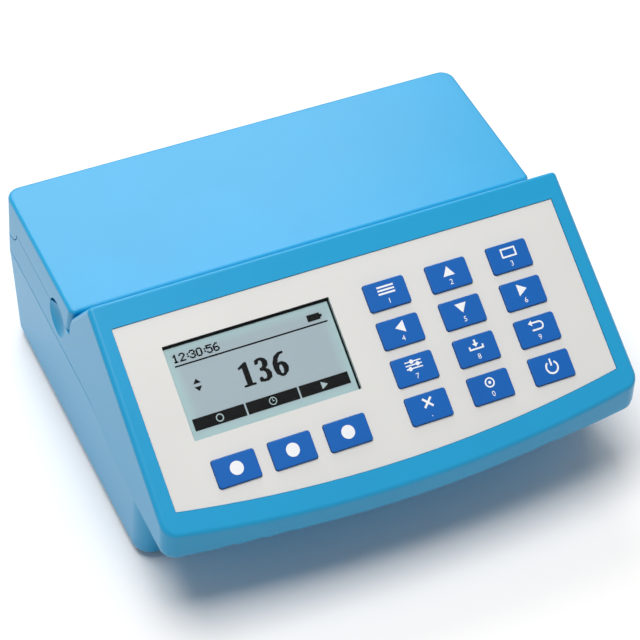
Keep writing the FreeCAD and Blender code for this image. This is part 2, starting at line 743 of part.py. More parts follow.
def makePanelCuts():
    """Everything cut through or into the panel, drawn flat."""
    seat = newBody("overlaySeat")
    outline = sketchOn(seat, "XY_Plane", "overlaySeatOutline", -s.membraneThick)
    bowed(outline, overlayHalf + s.fitGap, -overlayDrop - s.fitGap, s.fitGap, s.membraneBow)
    pad(seat, outline, 6)
    holes = newBody("keyHoles")
    openings = sketchOn(holes, "XY_Plane", "keyOpenings", -panelDepth - 1)
    for across, drop in ALL_KEYS:
        centred(openings, across, -drop, s.keyWide + 2 * s.keyGap, s.keyTall + 2 * s.keyGap)
    holes.AllowCompound = True
    form = pad(holes, openings, panelDepth + 2)
    fillet(holes, form, isUpright, s.keyCorner)
    screen = block("screenHole", (windowX - s.windowWide / 2 - s.frameMargin - 0.5,
                                  windowX + s.windowWide / 2 + s.frameMargin + 0.5),
                   (-s.windowDrop - s.windowTall / 2 - s.frameMargin - 0.5,
                    s.frameMargin + 0.5 - s.windowDrop + s.windowTall / 2), (-panelDepth - 1, 1))
    pilots = [rod("panelPilot", s.smallScrew, s.boardDeep - s.membraneThick - 1, x, -y, -s.boardDeep)
              for x, y in PANEL_SCREWS]
    return ontoPanel(compound("panelCuts", [seat, holes, screen] + pilots))


def makeUpperShell():
    outer = makeUpperOuter()
    walls = cut("upperWalls", outer, makeUpperHollow(), makeRebate())
    bosses = []
    for x, y in CASE_SCREWS:
        top = bezelLine(y) + 4 if y.value < 0 else deckUnder + 1
        bosses.append(rod("caseBoss", s.upperBoss, top - s.bossMeet, x, y, s.bossMeet))
    for name, side in SIDES:
        bosses.append(mirroredBlock("scoopBacking" + name, side, halfWidth - 7.5, halfWidth - 1,
                                    (scoopY - 13, scoopY + 13), (s.seamRear + s.tongueHeight + 1, deckUnder + 1)))
    inside = common("innerBosses", outer, fuse("allBosses", *bosses))
    raised = []
    for x, y in PANEL_SCREWS:
        raised.append(rod("panelBoss", 2.5, s.boardDeep - panelDepth + 1, x, -y, -s.boardDeep))
    raised = ontoPanel(compound("panelBosses", raised))
    hinge = []
    for name, side in SIDES:
        hinge.append(crossRod("post" + name, side, s.postRadius, postInner, postOuter, hingeY, s.hingeHeight))
        hinge.append(mirroredBlock("postFoot" + name, side, postInner, postOuter,
                                   (hingeY - 4.5, hingeY + 4.5), (earFloor - 1, s.hingeHeight)))
    shell = fuse("upperJoined", walls, inside, raised, *hinge)
    cuts = [makePanelCuts()]
    deep = s.scoopRadius - s.scoopDeep
    for name, side in SIDES:
        ball = doc.addObject("Part::Sphere", "scoop" + name)
        ball.Radius = s.scoopRadius.value
        bind(ball, "Radius", s.scoopRadius)
        cuts.append(place(ball, side * (lidHalf + deep), scoopY, s.scoopHeight))
        cuts.append(crossRod("pinSeat" + name, side, s.pinRadius + s.pinPlay / 2, postInner - 1,
                             postOuter + 1, hingeY, s.hingeHeight))
    for x, y in CASE_SCREWS:
        cuts.append(rod("casePilot", s.screwRadius + 0.02, 14, x, y, s.bossMeet - 1))
    cuts.append(rod("holderHole", holderRadius + s.fitGap + 0.1, s.deckThick + 2, 0, wellY, deckUnder - 1))
    return keep("upper_housing", cut("upper_housing", shell, *cuts))


upperShell = makeUpperShell()


# Lower shell

def makeLowerShell():
    tub, form = tubPlan("tubOuter", 0)
    fillet(tub, form, lambda edge: edge.BoundBox.ZMax < s.footHeight.value + 0.05, s.baseEdge)
    shelf, form = shelfPlan("shelfOuter", 0)
    fillet(shelf, form, lambda edge: edge.BoundBox.ZMax < s.rimBottom.value + 0.05
           and edge.BoundBox.YMax < -31, s.baseEdge - 0.4)
    above = newBody("aboveSeam")
    side = sketchOn(above, "YZ_Plane", "aboveSeamLine")
    corners, arcs = seamOutline(-s.seamGap / 2, s.seamRear + 40)
    loop(side, corners, arcs)
    pad(above, side, s.caseWidth + 40, True)
    outside = cut("lowerOutside", fuse("lowerForm", tub, shelf), above)

    thick = s.wall * 0.6
    aboveTongue = newBody("aboveTongue")
    side = sketchOn(aboveTongue, "YZ_Plane", "aboveTongueLine")
    corners, arcs = seamOutline(s.tongueHeight, s.seamRear + 40)
    loop(side, corners, arcs)
    pad(aboveTongue, side, s.caseWidth + 40, True)
    inner = fuse("tongueForm", tubPlan("tubTongue", thick)[0], shelfPlan("shelfTongue", thick)[0])
    tongue = cut("tongue", inner, aboveTongue)
    walls = cut("lowerWalls", fuse("lowerWhole", outside, tongue),
                tubPlan("tubHollow", s.wall)[0], shelfPlan("shelfHollow", s.wall)[0])

    posts = []
    floor = innerFloor - 1
    for x, y in CASE_SCREWS:
        posts.append(rod("casePost", s.screwBoss, s.bossMeet - floor, x, y, floor))
    for x, y in BOARD_SCREWS:
        posts.append(rod("boardPost", 3, s.mainBoardHeight - floor, x, y, floor))
    for x, y in PORT_SCREWS:
        posts.append(rod("portPost", 3, s.portBoardHeight - floor, x, y, floor))
    for x, y in PORT_RESTS:
        posts.append(rod("portRest", 2.5, s.portBoardHeight - floor, x, y, floor))
    for x, y in OPTICS_SCREWS:
        posts.append(rod("opticsPost", 3.5, s.opticsLow - floor, x, y, floor))
    for low, high, front, rear in CELL_RIBS:
        posts.append(block("cellRib", (low, high), (front, rear), (floor, innerFloor + 7)))
    shell = fuse("lowerJoined", walls, *posts)

    cuts = []
    for x, y in CASE_SCREWS:
        cuts.append(rod("headSeat", s.screwHead + 0.3, HEAD_FLOOR - s.footHeight + 1, x, y, s.footHeight - 1))
        cuts.append(rod("screwWay", s.screwRadius + 0.2, s.bossMeet + 1 - HEAD_FLOOR, x, y, HEAD_FLOOR))
    for places, top in ((BOARD_SCREWS, s.mainBoardHeight), (PORT_SCREWS, s.portBoardHeight),
                        (OPTICS_SCREWS, s.opticsLow)):
        for x, y in places:
            cuts.append(rod("postPilot", s.smallScrew + 0.02, 6, x, y, top - 5.5))
    for x, y in FEET:
        cuts.append(rod("footSeatCut", s.footRadius + s.fitGap, s.footSeat + 1, x, y, s.footHeight - 1))
    for low, high, bottom, top in PORT_WAYS:
        cuts.append(block("portWay", (low, high), (tubRear - 3, tubRear + 6), (bottom, top)))
    cuts.append(rod("jackWay", JACK_BARREL + 0.3, 9, JACK_PLACE, tubRear - 3, JACK_HEIGHT, "y"))
    cuts.append(block("labelSeat", (-35, 35), (-30, 4), (s.footHeight - 1, s.footHeight + 0.3)))
    return keep("lower_housing", cut("lower_housing", shell, *cuts))


HEAD_FLOOR = s.footHeight + 5
BOARD_SCREWS = [(x, y) for x in (-64, 64) for y in (mainBoardFront + 6, mainBoardRear - 6)]
OPTICS_SCREWS = [(side * (s.opticsHalf - 4), wellY + end * (s.opticsHalf - 4))
                 for side in (-1, 1) for end in (-1, 1)]
CELL_LEFT, CELL_REAR = s.cellInset - halfWidth, halfDepth - s.cellAhead
CELL_RIGHT, CELL_FRONT = -s.opticsHalf - s.cellRoom, CELL_REAR - s.cellLong
CELL_RIBS = [(CELL_LEFT - 2, CELL_LEFT - 0.3, CELL_FRONT, CELL_REAR),
             (CELL_RIGHT + 0.3, CELL_RIGHT + 2, CELL_FRONT, CELL_REAR),
             (CELL_LEFT, CELL_RIGHT, CELL_FRONT - 2, CELL_FRONT - 0.3),
             (CELL_LEFT, CELL_RIGHT, CELL_REAR + 0.3, CELL_REAR + 2)]
JACK_PLACE = halfWidth - s.jackInset
MICRO_PLACE = JACK_PLACE - 12
USB_PLACE = MICRO_PLACE - 15
PORT_SCREWS = [(x, tubRear - 27) for x in (USB_PLACE - 6.5, JACK_PLACE + 2)]
PORT_RESTS = [(x, tubRear - 8) for x in (USB_PLACE, JACK_PLACE)]
USB_WIDE, USB_TALL, MICRO_WIDE, MICRO_TALL = 13.2, 5.8, 7.8, 2.8
JACK_BARREL = 3.2
JACK_HEIGHT = portTopZ + 4
PORT_WAYS = [(USB_PLACE - USB_WIDE / 2 - 0.4, USB_PLACE + USB_WIDE / 2 + 0.4,
              portTopZ - 0.2, portTopZ + USB_TALL + 0.6),
             (MICRO_PLACE - MICRO_WIDE / 2 - 0.4, MICRO_PLACE + MICRO_WIDE / 2 + 0.4,
              portTopZ - 0.2, portTopZ + MICRO_TALL + 0.6)]
lowerShell = makeLowerShell()


# Screws and feet

def screw(label, x, y, seat, length, radius, headRadius, headHeight, up=True):
    """A pan-head screw whose head rests on a seat; up tells whether its shank points up."""
    shank = rod(label + "Shank", radius, length, x, y, seat if up else seat - length)
    head = rod(label + "Head", headRadius, headHeight, x, y, seat - headHeight if up else seat)
    slotLow = seat - headHeight - 1 if up else asSize(seat) + asSize(headHeight) - 0.6
    slot = block(label + "Slot", (x - headRadius, x + headRadius), (y - 0.3, y + 0.3),
                 (slotLow, asSize(slotLow) + 1.6))
    return cut(label, fuse(label + "Whole", shank, head), slot)


keep("case_screws", compound("case_screws", [
    screw("caseScrew", x, y, HEAD_FLOOR, s.bossMeet + 11 - HEAD_FLOOR, s.screwRadius, s.screwHead, 2.2)
    for x, y in CASE_SCREWS]))


def makeFoot(x, y):
    body = newBody("foot")
    outline = sketchOn(body, "XY_Plane", "footOutline", s.footHeight + s.footSeat)
    circle(outline, x, y, s.footRadius)
    form = pad(body, outline, s.footHeight + s.footSeat, down=True)
    fillet(body, form, lambda edge: edge.BoundBox.ZMax < 0.1, 0.8)
    return body


keep("rubber_feet", compound("rubber_feet", [makeFoot(x, y) for x, y in FEET]))


# Lid

def lidOutline(inset):
    """Side view of the lid: front, top, rear and the round of its hinge ears."""
    inset = asSize(inset)
    radius = s.earRadius - inset
    rear = hingeY + s.earRadius - inset
    top = s.lidTop - inset
    front = lidFront + inset
    axisY, axisZ = hingeY, s.hingeHeight
    slant = radius.value * math.sqrt(0.5)
    leaned = front + (top - s.lidSeam) * lidLeanRate
    drop = axisZ - s.lidSeam
    start = axisY - root(radius * radius - drop * drop)
    corners = [(front, top), (leaned, s.lidSeam), (start, s.lidSeam), (axisY, axisZ - radius),
               (rear, axisZ), (rear, top)]
    lower = (axisY.value - slant, axisZ.value - slant)
    upper = (axisY.value + slant, axisZ.value - slant)
    return corners, {2: (lower, radius), 3: (upper, radius)}


def makeLid():
    outer, form = upperPlan("lidOuter", 0)
    corners, arcs = lidOutline(0)
    form = cutProfile(outer, "lidSide", corners, arcs, True)
    form = fillet(outer, form, lambda edge: isUpright(edge) and edge.BoundBox.YMax < lidFront.value + 4
                  and edge.BoundBox.ZLength > 10, 3)
    fillet(outer, form, lambda edge: edge.BoundBox.ZMin > s.lidTop.value - 0.05
           and edge.BoundBox.YMin > lidFront.value - 1, s.lidEdge)
    hollow, form = upperPlan("lidHollow", s.lidWall)
    radius = s.earRadius - s.lidWall
    rear = hingeY + radius
    top = s.lidTop - s.lidWall
    front = lidFront + s.lidWall
    low = s.hingeHeight - s.earRadius - 4
    slant = radius.value * math.sqrt(0.5)
    cutProfile(hollow, "hollowSide", [
        (front, top), (front + (top - low) * lidLeanRate, low), (hingeY, low),
        (hingeY, s.hingeHeight - radius), (rear, s.hingeHeight), (rear, top)],
        {3: ((hingeY.value + slant, s.hingeHeight.value - slant), radius)}, True)
    walls = cut("lidWalls", outer, hollow)
    added = []
    for name, side in SIDES:
        for part, low, high in (("tab", tabInner, tabOuter), ("ear", earInner, lidHalf - 1)):
            added.append(crossRod(part + name, side, s.earRadius, low, high, hingeY, s.hingeHeight))
            added.append(mirroredBlock(part + "Web" + name, side, low, high,
                                       (hingeY - 4, hingeY + s.earRadius - 1),
                                       (s.hingeHeight, s.lidTop - s.lidWall + 0.5)))
        added.append(mirroredBlock("rib" + name, side, 50, 51.5, (rimFront + 8, rimRear - 8),
                                   (s.lidTop - s.lidWall - 4, s.lidTop - 1)))
    lid = fuse("lidJoined", walls, common("lidInside", outer, fuse("lidAdded", *added)))
    cuts = []
    for name, side in SIDES:
        cuts.append(mirroredBlock("postRoom" + name, side, tabOuter, earInner,
                                  (hingeY - s.earRadius - 1, hingeY + s.earRadius + 2),
                                  (s.hingeHeight - s.earRadius - 1, s.hingeHeight + s.postRadius + 0.6)))
        cuts.append(crossRod("pinHole" + name, side, s.pinRadius + s.pinPlay, pinInner - 0.2,
                             pinOuter + 0.2, hingeY, s.hingeHeight))
        cuts.append(crossRod("arch" + name, side, s.archRadius, lidHalf - s.lidWall - 2, halfWidth + 2,
                             scoopY, s.scoopHeight + 0.3))
    return keep("lid", cut("lid", lid, *cuts))


lid = makeLid()
keep("hinge_pins", compound("hinge_pins", [
    crossRod("pin" + name, side, s.pinRadius, pinInner, pinOuter, hingeY, s.hingeHeight)
    for name, side in SIDES]))


def makeGasket():
    body = newBody("lid_gasket")
    top = s.lidTop - s.lidWall
    middle = s.rimWall / 2
    outline = sketchOn(body, "XY_Plane", "gasketOutline", top)
    reach = s.gasketWide / 2
    outer = rimSide - middle + reach
    inner = rimSide - middle - reach
    rectangle(outline, -outer, outer, rimFront + middle - reach, rimRear - middle + reach)
    rectangle(outline, -inner, inner, rimFront + middle + reach, rimRear - middle - reach)
    pad(body, outline, s.gasketThick, down=True)
    return keep("lid_gasket", body)


makeGasket()


# Front panel

def makeOverlay():
    body = newBody("membrane_overlay")
    outline = sketchOn(body, "XY_Plane", "overlayOutline", -s.membraneThick)
    bowed(outline, overlayHalf, -overlayDrop, 0, s.membraneBow)
    for across, drop in ALL_KEYS:
        centred(outline, across, -drop, s.keyWide + 2 * s.keyGap, s.keyTall + 2 * s.keyGap)
    centred(outline, windowX, -s.windowDrop, s.windowWide, s.windowTall)
    form = pad(body, outline, s.membraneThick)
    fillet(body, form, isKeyCorner, s.keyCorner)
    return keep("membrane_overlay", ontoPanel(body))


def isKeyCorner(edge):
    """The upright corners of the key openings in the overlay."""
    if not isUprightShort(edge):
        return False
    point = edge.Vertexes[0].Point
    wide, tall = s.keyWide.value / 2 + 1, s.keyTall.value / 2 + 1
    return any(abs(point.x - x.value) < wide and abs(point.y + drop.value) < tall for x, drop in ALL_KEYS)


def isUprightShort(edge):
    span = edge.BoundBox
    return span.ZLength > 0.3 and max(span.XLength, span.YLength) < 0.05


makeOverlay()


def makeKey(name, across, drop):
    """A key cap with a retaining flange, drawn about its own middle."""
    body = newBody(name)
    flangeTop = -panelDepth - s.keyGap
    foot = sketchOn(body, "XY_Plane", name + "Foot", flangeTop)
    centred(foot, 0, 0, s.keyWide + 2 * s.keyFlange, s.keyTall + 2 * s.keyFlange)
    pad(body, foot, s.keyFlangeThick, down=True)
    cap = sketchOn(body, "XY_Plane", name + "Cap", flangeTop)
    centred(cap, 0, 0, s.keyWide, s.keyTall)
    form = pad(body, cap, s.keyProud - flangeTop)
    form = fillet(body, form, lambda edge: isUpright(edge) and edge.BoundBox.ZLength > 2, s.keyCorner)
    fillet(body, form, lambda edge: edge.BoundBox.ZMin > s.keyProud.value - 0.05, s.keyEdge)
    body.Placement = FreeCAD.Placement(Vector(0, 0, 0), FreeCAD.Rotation(Vector(1, 0, 0), tilt.value))
    bind(body, "Placement.Rotation.Angle", tilt)
    y, z = panelPoint(drop, 0)
    return keep(name, place(body, across, y, z))


for index, (across, drop) in enumerate(KEY_PLACES):
    makeKey(f"key_row{index // 3 + 1}_column{index % 3 + 1}", across, drop)
for index, (across, drop) in enumerate(SOFT_PLACES):
    makeKey(f"function_key_{index + 1}", across, drop)


def makeWindow():
    body = newBody("display_window")
    top = -s.fitGap / 2
    lens = sketchOn(body, "XY_Plane", "windowLens", top)
    centred(lens, windowX, -s.windowDrop, s.windowWide - s.fitGap, s.windowTall - s.fitGap)
    pad(body, lens, s.membraneThick + s.fitGap, down=True)
    flange = sketchOn(body, "XY_Plane", "windowFlange", -windowFlangeDeep)
    centred(flange, windowX, -s.windowDrop, s.windowWide + 2 * s.windowLip, s.windowTall + 2 * s.windowLip)
    pad(body, flange, windowFlangeDeep - s.membraneThick - 0.1)
    return keep("display_window", ontoPanel(body))


makeWindow()


def makeDisplay():
    frame = newBody("lcd_frame")
    wide = s.windowWide + 2 * s.frameMargin
    tall = s.windowTall + 2 * s.frameMargin
    x, y = windowX, -s.windowDrop
    outline = sketchOn(frame, "XY_Plane", "frameOutline", -s.boardDeep)
    centred(outline, x, y, wide, tall)
    pad(frame, outline, s.boardDeep - windowFlangeDeep)
    sight = sketchOn(frame, "XY_Plane", "frameSight", -windowFlangeDeep)
    centred(sight, x, y, s.windowWide + 1.7, s.windowTall + 2)
    pocket(frame, sight, s.boardDeep)
    seat = sketchOn(frame, "XY_Plane", "frameSeat", -s.boardDeep)
    centred(seat, x, y, wide - 3.6, tall - 3.6)
    form = pocket(frame, seat, s.boardDeep - s.glassDeep, up=True)
    fillet(frame, form, lambda edge: isUprightShort(edge) and abs(abs(edge.Vertexes[0].X - x.value)
           - wide.value / 2) < 0.01, 1)
    keep("lcd_frame", ontoPanel(frame))
    inner = (wide - 4) / 2
    innerTall = (tall - 4) / 2
    split = -s.glassDeep - s.glassThick
    glass = block("lcd_glass", (x - inner, x + inner), (y - innerTall, y + innerTall), (split, -s.glassDeep))
    keep("lcd_glass", ontoPanel(compound("lcdGlassSheet", [glass])))
    light = newBody("lcd_backlight")
    outline = sketchOn(light, "XY_Plane", "lightOutline", -s.boardDeep)
    centred(outline, x, y, 2 * inner - 0.4, 2 * innerTall - 0.4)
    form = pad(light, outline, s.boardDeep + split)
    fillet(light, form, isUpright, 1)
    keep("lcd_backlight", ontoPanel(light))


makeDisplay()


def makeKeypadBoard():
    board = newBody("keypad_board")
    outline = sketchOn(board, "XY_Plane", "keypadOutline", -s.boardDeep - s.boardThick)
    rectangle(outline, -keyBoardHalf, keyBoardHalf, -keyBoardLow, -s.keyBoardTop)
    for x, y in PANEL_SCREWS:
        circle(outline, x, -y, s.smallScrew + 0.15)
    form = pad(board, outline, s.boardThick)
    fillet(board, form, lambda edge: isUpright(edge) and abs(edge.Vertexes[0].X) > keyBoardHalf.value - 0.1, 2)
    keep("keypad_board", ontoPanel(board))
    domes = []
    for across, drop in ALL_KEYS:
        dome = doc.addObject("Part::Cone", "dome")
        dome.Radius1, dome.Radius2, dome.Height = 3, 1.6, 0.7
        domes.append(place(dome, across, -drop, -s.boardDeep))
    keep("key_domes", ontoPanel(compound("key_domes", domes)))
    under = -s.boardDeep - s.boardThick
    keep("keypad_board_screws", ontoPanel(compound("keypad_board_screws", [
        screw("panelScrew", x, -y, under, s.boardDeep + s.boardThick - s.membraneThick - 1.4,
              s.smallScrew, s.smallHead, 1.2) for x, y in PANEL_SCREWS])))


makeKeypadBoard()


# Cuvette holder and optics

def makeHolder():
    body = newBody("cuvette_holder")
    profile = sketchOn(body, "XZ_Plane", "holderProfile")
    bottom = s.wellBottom - s.holderWall
    flangeLow = s.deckHeight + s.sealThick
    loop(profile, [(0, bottom), (holderRadius, bottom), (holderRadius, flangeLow), (s.flangeRadius, flangeLow),
                   (s.flangeRadius, holderTop), (s.wellRadius + 0.8, holderTop),
                   (s.wellRadius, holderTop - 0.8), (s.wellRadius, s.wellBottom), (0, s.wellBottom)])
    turned = body.newObject("PartDesign::Revolution", "Turned")
    turned.Profile = profile
    turned.ReferenceAxis = (profile, ["V_Axis"])
    turned.Angle = 360
    doc.recompute()
    place(body, 0, wellY, 0)
    beams = []
    for index in range(5):
        beam = rod("windowBeam", s.beamRadius - 0.4, 2 * holderRadius + 4, 0, 0, 0, "y")
        beams.append(turnBeam(beam, index, -holderRadius - 2))
    return keep("cuvette_holder", cut("cuvette_holder", body, *beams))


def turnBeam(item, index, start):
    """Turns a bar to one of the fan of light channels, from a distance off the well's axis."""
    angle = (index - 2) * s.beamSpread
    turned = FreeCAD.Rotation(Vector(0, 0, 1), angle.value)
    item.Placement = FreeCAD.Placement(Vector(0, 0, 0), turned.multiply(FreeCAD.Rotation(Vector(0, 0, 1), TURNS["y"])))
    # The bar points to +Y before it is turned, so its start moves along the turned direction.
    start = asSize(start)
    return place(item, -start * sine(angle), wellY + start * cosine(angle), s.beamHeight)


makeHolder()


def makeSeal():
    body = newBody("holder_seal")
    outline = sketchOn(body, "XY_Plane", "sealOutline", s.deckHeight)
    circle(outline, 0, wellY, s.flangeRadius - s.fitGap)
    circle(outline, 0, wellY, holderRadius + s.fitGap)
    pad(body, outline, s.sealThick)
    return keep("holder_seal", body)


makeSeal()


def makeIndexMark():
    body = newBody("index_mark")
    outline = sketchOn(body, "XY_Plane", "indexOutline", s.deckHeight)
    front = wellY - s.flangeRadius - 1
    loop(outline, [(-2.5, front - 4.5), (2.5, front - 4.5), (0, front)])
    pad(body, outline, 0.6)
    return keep("index_mark", body)


makeIndexMark()


def makeOptics():
    body = newBody("opticsBody")
    outline = sketchOn(body, "XY_Plane", "opticsOutline", s.opticsLow)
    centred(outline, 0, wellY, 2 * s.opticsHalf, 2 * s.opticsHalf)
    circle(outline, 0, wellY, holderRadius + s.fitGap)
    form = pad(body, outline, s.opticsHigh - s.opticsLow)
    fillet(body, form, lambda edge: isUpright(edge) and edge.Curve.TypeId == "Part::GeomLine"
           and abs(edge.Vertexes[0].X) > s.opticsHalf.value - 0.1, 3, "Chamfer")
    reach = s.opticsHalf + 12
    cuts = []
    for index in range(5):
        cuts.append(turnBeam(rod("channel", s.beamRadius, 2 * reach, 0, 0, 0, "y"), index, -reach))
    for x, y in OPTICS_SCREWS:
        cuts.append(rod("opticsHole", s.smallScrew + 0.15, s.opticsHigh, x, y, s.opticsLow - 1))
        cuts.append(rod("opticsHeadSeat", s.smallHead + 0.3, s.opticsHigh, x, y, s.opticsLow + 4))
    keep("optics_block", cut("optics_block", body, *cuts))
    keep("optics_screws", compound("optics_screws", [
        screw("opticsScrew", x, y, s.opticsLow + 4, 8.5, s.smallScrew, s.smallHead, 1.2, False)
        for x, y in OPTICS_SCREWS]))
    near = holderRadius + 2.6
    sets = {"interference_filters": (-near, 2), "source_lenses": (-near - 4, 1.6),
            "led_sources": (-near - 13, 6)}
    loose = s.beamRadius - 0.05
    for name, (start, length) in sets.items():
        items = []
        for index in range(5):
            item = turnBeam(rod(name + "Disc", loose, length, 0, 0, 0, "y"), index, start - length)
            if name == "led_sources":
                flange = turnBeam(rod("ledLegs", 1.1, 2.2, 0, 0, 0, "y"), index, start - length - 2)
                item = fuse("led", item, flange)
            items.append(item)
        keep(name, compound(name, items))
    keep("sample_detectors", compound("sample_detectors", [
        turnBeam(rod("detector", loose, 2.4, 0, 0, 0, "y"), index, near) for index in range(5)]))


makeOptics()


# Boards, sockets, cells and cable

def makeBoard(name, left, right, front, rear, low, holes):
    body = newBody(name)
    outline = sketchOn(body, "XY_Plane", name + "Outline", low)
    rectangle(outline, left, right, front, rear)
    for x, y in holes:
        circle(outline, x, y, s.smallScrew + 0.15)
    form = pad(body, outline, s.boardThick)
    corners = (asSize(left).value, asSize(right).value)
    fillet(body, form, lambda edge: isUpright(edge) and min(abs(edge.Vertexes[0].X - corner) for corner in corners)
           < 0.05 and edge.Curve.TypeId == "Part::GeomLine", 1.5)
    return keep(name, body)


makeBoard("main_board", -s.mainBoardHalf, s.mainBoardHalf, mainBoardFront, mainBoardRear,
          s.mainBoardHeight, BOARD_SCREWS)
keep("main_board_screws", compound("main_board_screws", [
    screw("boardScrew", x, y, boardTopZ, 5.5, s.smallScrew, s.smallHead, 1.2, False) for x, y in BOARD_SCREWS]))
makeBoard("port_board", USB_PLACE - 9.5, JACK_PLACE + 6.5, tubRear - 31, tubRear - 1.9, s.portBoardHeight, PORT_SCREWS)
keep("port_board_screws", compound("port_board_screws", [
    screw("portScrew", x, y, portTopZ, 5.5, s.smallScrew, s.smallHead, 1.2, False)
    for x, y in PORT_SCREWS]))

CHIPS = [(-20, -20, 14, 14, 1.6), (14, -14, 9, 9, 1.4), (-46, -16, 12, 7, 2.4), (42, -34, 18, 5, 3.2),
         (-48, -40, 10, 5, 1.8), (46, -8, 8, 12, 2.2), (-10, -40, 5, 3, 1.2), (0, 6, 7, 5, 1.5)]
chips = [block("chip", (x - wide / 2, x + wide / 2), (y - deep / 2, y + deep / 2), (boardTopZ, boardTopZ + tall))
         for x, y, wide, deep, tall in CHIPS]
chips += [rod("capacitor", 3.5, 8, x, y, boardTopZ) for x, y in ((-30, 4), (-38, 4), (24, 4))]
keep("board_chips", compound("board_chips", chips))


def makeRibbon():
    """Flat cable between a header under the keypad board and one on the main board."""
    drop = 24
    y, z = panelPoint(drop, -s.boardDeep - s.boardThick)
    upper = ontoPanel(compound("upperHeader", [block(
        "upperHeaderBox", (24, 46), (-drop - 2.5, 2.5 - drop), (-s.boardDeep - s.boardThick - 5,
                                                                  -s.boardDeep - s.boardThick))]))
    endY, endZ = panelPoint(drop, -s.boardDeep - s.boardThick - 5)
    foot = endY + 1
    lower = block("lowerHeader", (24, 46), (foot - 2.5, foot + 2.5), (boardTopZ, boardTopZ + 6))
    keep("board_headers", compound("board_headers", [upper, lower]))
    body = newBody("ribbon_cable")
    side = sketchOn(body, "YZ_Plane", "ribbonSide", 25)
    top = boardTopZ + 6
    bend, thick = 5, 0.8
    loop(side, [(foot, top), (foot + thick, top), (foot + thick, top + 12), (endY + bend + thick, top + 26),
                (endY + bend + thick, endZ - 10), (endY + 0.6, endZ + 0.2), (endY - 0.2, endZ - 0.3),
                (endY + bend, endZ - 10.5), (endY + bend, top + 26.2), (foot, top + 12.2)])
    pad(body, side, 20)
    keep("ribbon_cable", body)


makeRibbon()


def makeCells():
    body = newBody("battery_pack")
    outline = sketchOn(body, "XY_Plane", "cellOutline", innerFloor)
    rectangle(outline, CELL_LEFT, CELL_RIGHT, CELL_FRONT, CELL_REAR)
    form = pad(body, outline, s.cellTall)
    form = fillet(body, form, isUpright, 4)
    fillet(body, form, lambda edge: edge.BoundBox.ZMin > innerFloor.value + s.cellTall.value - 1, 3)
    return keep("battery_pack", body)


makeCells()


def makeSocket(name, place, wide, tall, deep):
    """A stamped shell with its tongue, flush with the rear wall."""
    body = newBody(name)
    rear = tubRear + 1.6
    outline = sketchOn(body, "XZ_Plane", name + "Shell", -rear)
    low, high = portTopZ, portTopZ + tall
    rectangle(outline, place - wide / 2, place + wide / 2, low, high)
    pad(body, outline, deep)
    mouth = sketchOn(body, "XZ_Plane", name + "Mouth", -rear)
    rectangle(mouth, place - wide / 2 + 0.4, place + wide / 2 - 0.4, low + 0.4, high - 0.4)
    pocket(body, mouth, deep - 2, up=True)
    tongue = sketchOn(body, "XZ_Plane", name + "Tongue", 1 - rear)
    rectangle(tongue, place - wide / 2 + 1.2, place + wide / 2 - 1.2, low + tall * 0.3, low + tall * 0.5)
    pad(body, tongue, deep - 2)
    return keep(name, body)


makeSocket("usb_a_socket", USB_PLACE, USB_WIDE, USB_TALL, 14)
makeSocket("micro_usb_socket", MICRO_PLACE, MICRO_WIDE, MICRO_TALL, 6)
jackRear = tubRear + 1.6
jackBox = block("jackBox", (JACK_PLACE - 4, JACK_PLACE + 4), (jackRear - 16, jackRear - 4.6),
                (portTopZ, portTopZ + 8))
jackBarrel = rod("jackBarrel", JACK_BARREL, 6, JACK_PLACE, jackRear - 6, JACK_HEIGHT, "y")
jackBore = rod("jackBore", s.jackRadius, 15, JACK_PLACE, jackRear - 14, JACK_HEIGHT, "y")
keep("electrode_jack", cut("electrode_jack", fuse("jackWhole", jackBox, jackBarrel), jackBore))


# Checks and export

doc.recompute()
for item in doc.Objects:
    if any(word in ("Invalid", "Error") for word in item.State):
        raise RuntimeError(f"{item.Label}: {item.State}")
os.makedirs("parts", exist_ok=True)
for name, item in nodes.items():
    shape = item.Shape
    if shape.isNull() or not shape.isValid() or not shape.Solids:
        raise RuntimeError(f"{name} is not a closed solid")
    if any(solid.Volume <= 0 for solid in shape.Solids):
        raise RuntimeError(f"{name} has a solid without volume")
    shape.exportStep(f"parts/{name}.step")
    print(f"{name}: {len(shape.Solids)} solid(s), {shape.Volume / 1000:.2f} cm3")
print(f"{len(nodes)} sub-parts written")
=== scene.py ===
import math

import bpy
import numpy as np
from mathutils import Matrix, Vector


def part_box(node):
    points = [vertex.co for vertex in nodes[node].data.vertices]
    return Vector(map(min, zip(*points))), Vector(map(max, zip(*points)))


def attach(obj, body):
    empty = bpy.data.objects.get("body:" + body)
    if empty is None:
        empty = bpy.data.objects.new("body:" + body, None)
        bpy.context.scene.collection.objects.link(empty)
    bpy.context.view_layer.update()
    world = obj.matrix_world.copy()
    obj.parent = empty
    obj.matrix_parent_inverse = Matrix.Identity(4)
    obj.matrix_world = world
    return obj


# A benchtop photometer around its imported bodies, in metres: X to the right, Y to the rear, Z up

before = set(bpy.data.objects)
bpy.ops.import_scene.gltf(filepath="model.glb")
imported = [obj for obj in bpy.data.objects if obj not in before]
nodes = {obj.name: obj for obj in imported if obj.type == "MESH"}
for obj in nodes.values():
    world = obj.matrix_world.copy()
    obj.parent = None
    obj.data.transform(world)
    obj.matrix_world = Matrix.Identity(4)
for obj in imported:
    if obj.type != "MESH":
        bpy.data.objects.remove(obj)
scene = bpy.context.scene
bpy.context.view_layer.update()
print("stage: frame loaded,", len(nodes), "nodes")


# Camera, placed in the row frame at the photograph's own angle

view = {"place": (-0.31744, -0.60630, 0.76243), "turn": (43.674, -2.580, -24.929), "lens": 136.212, "film": 36,
        "near": 0.05, "far": 20}

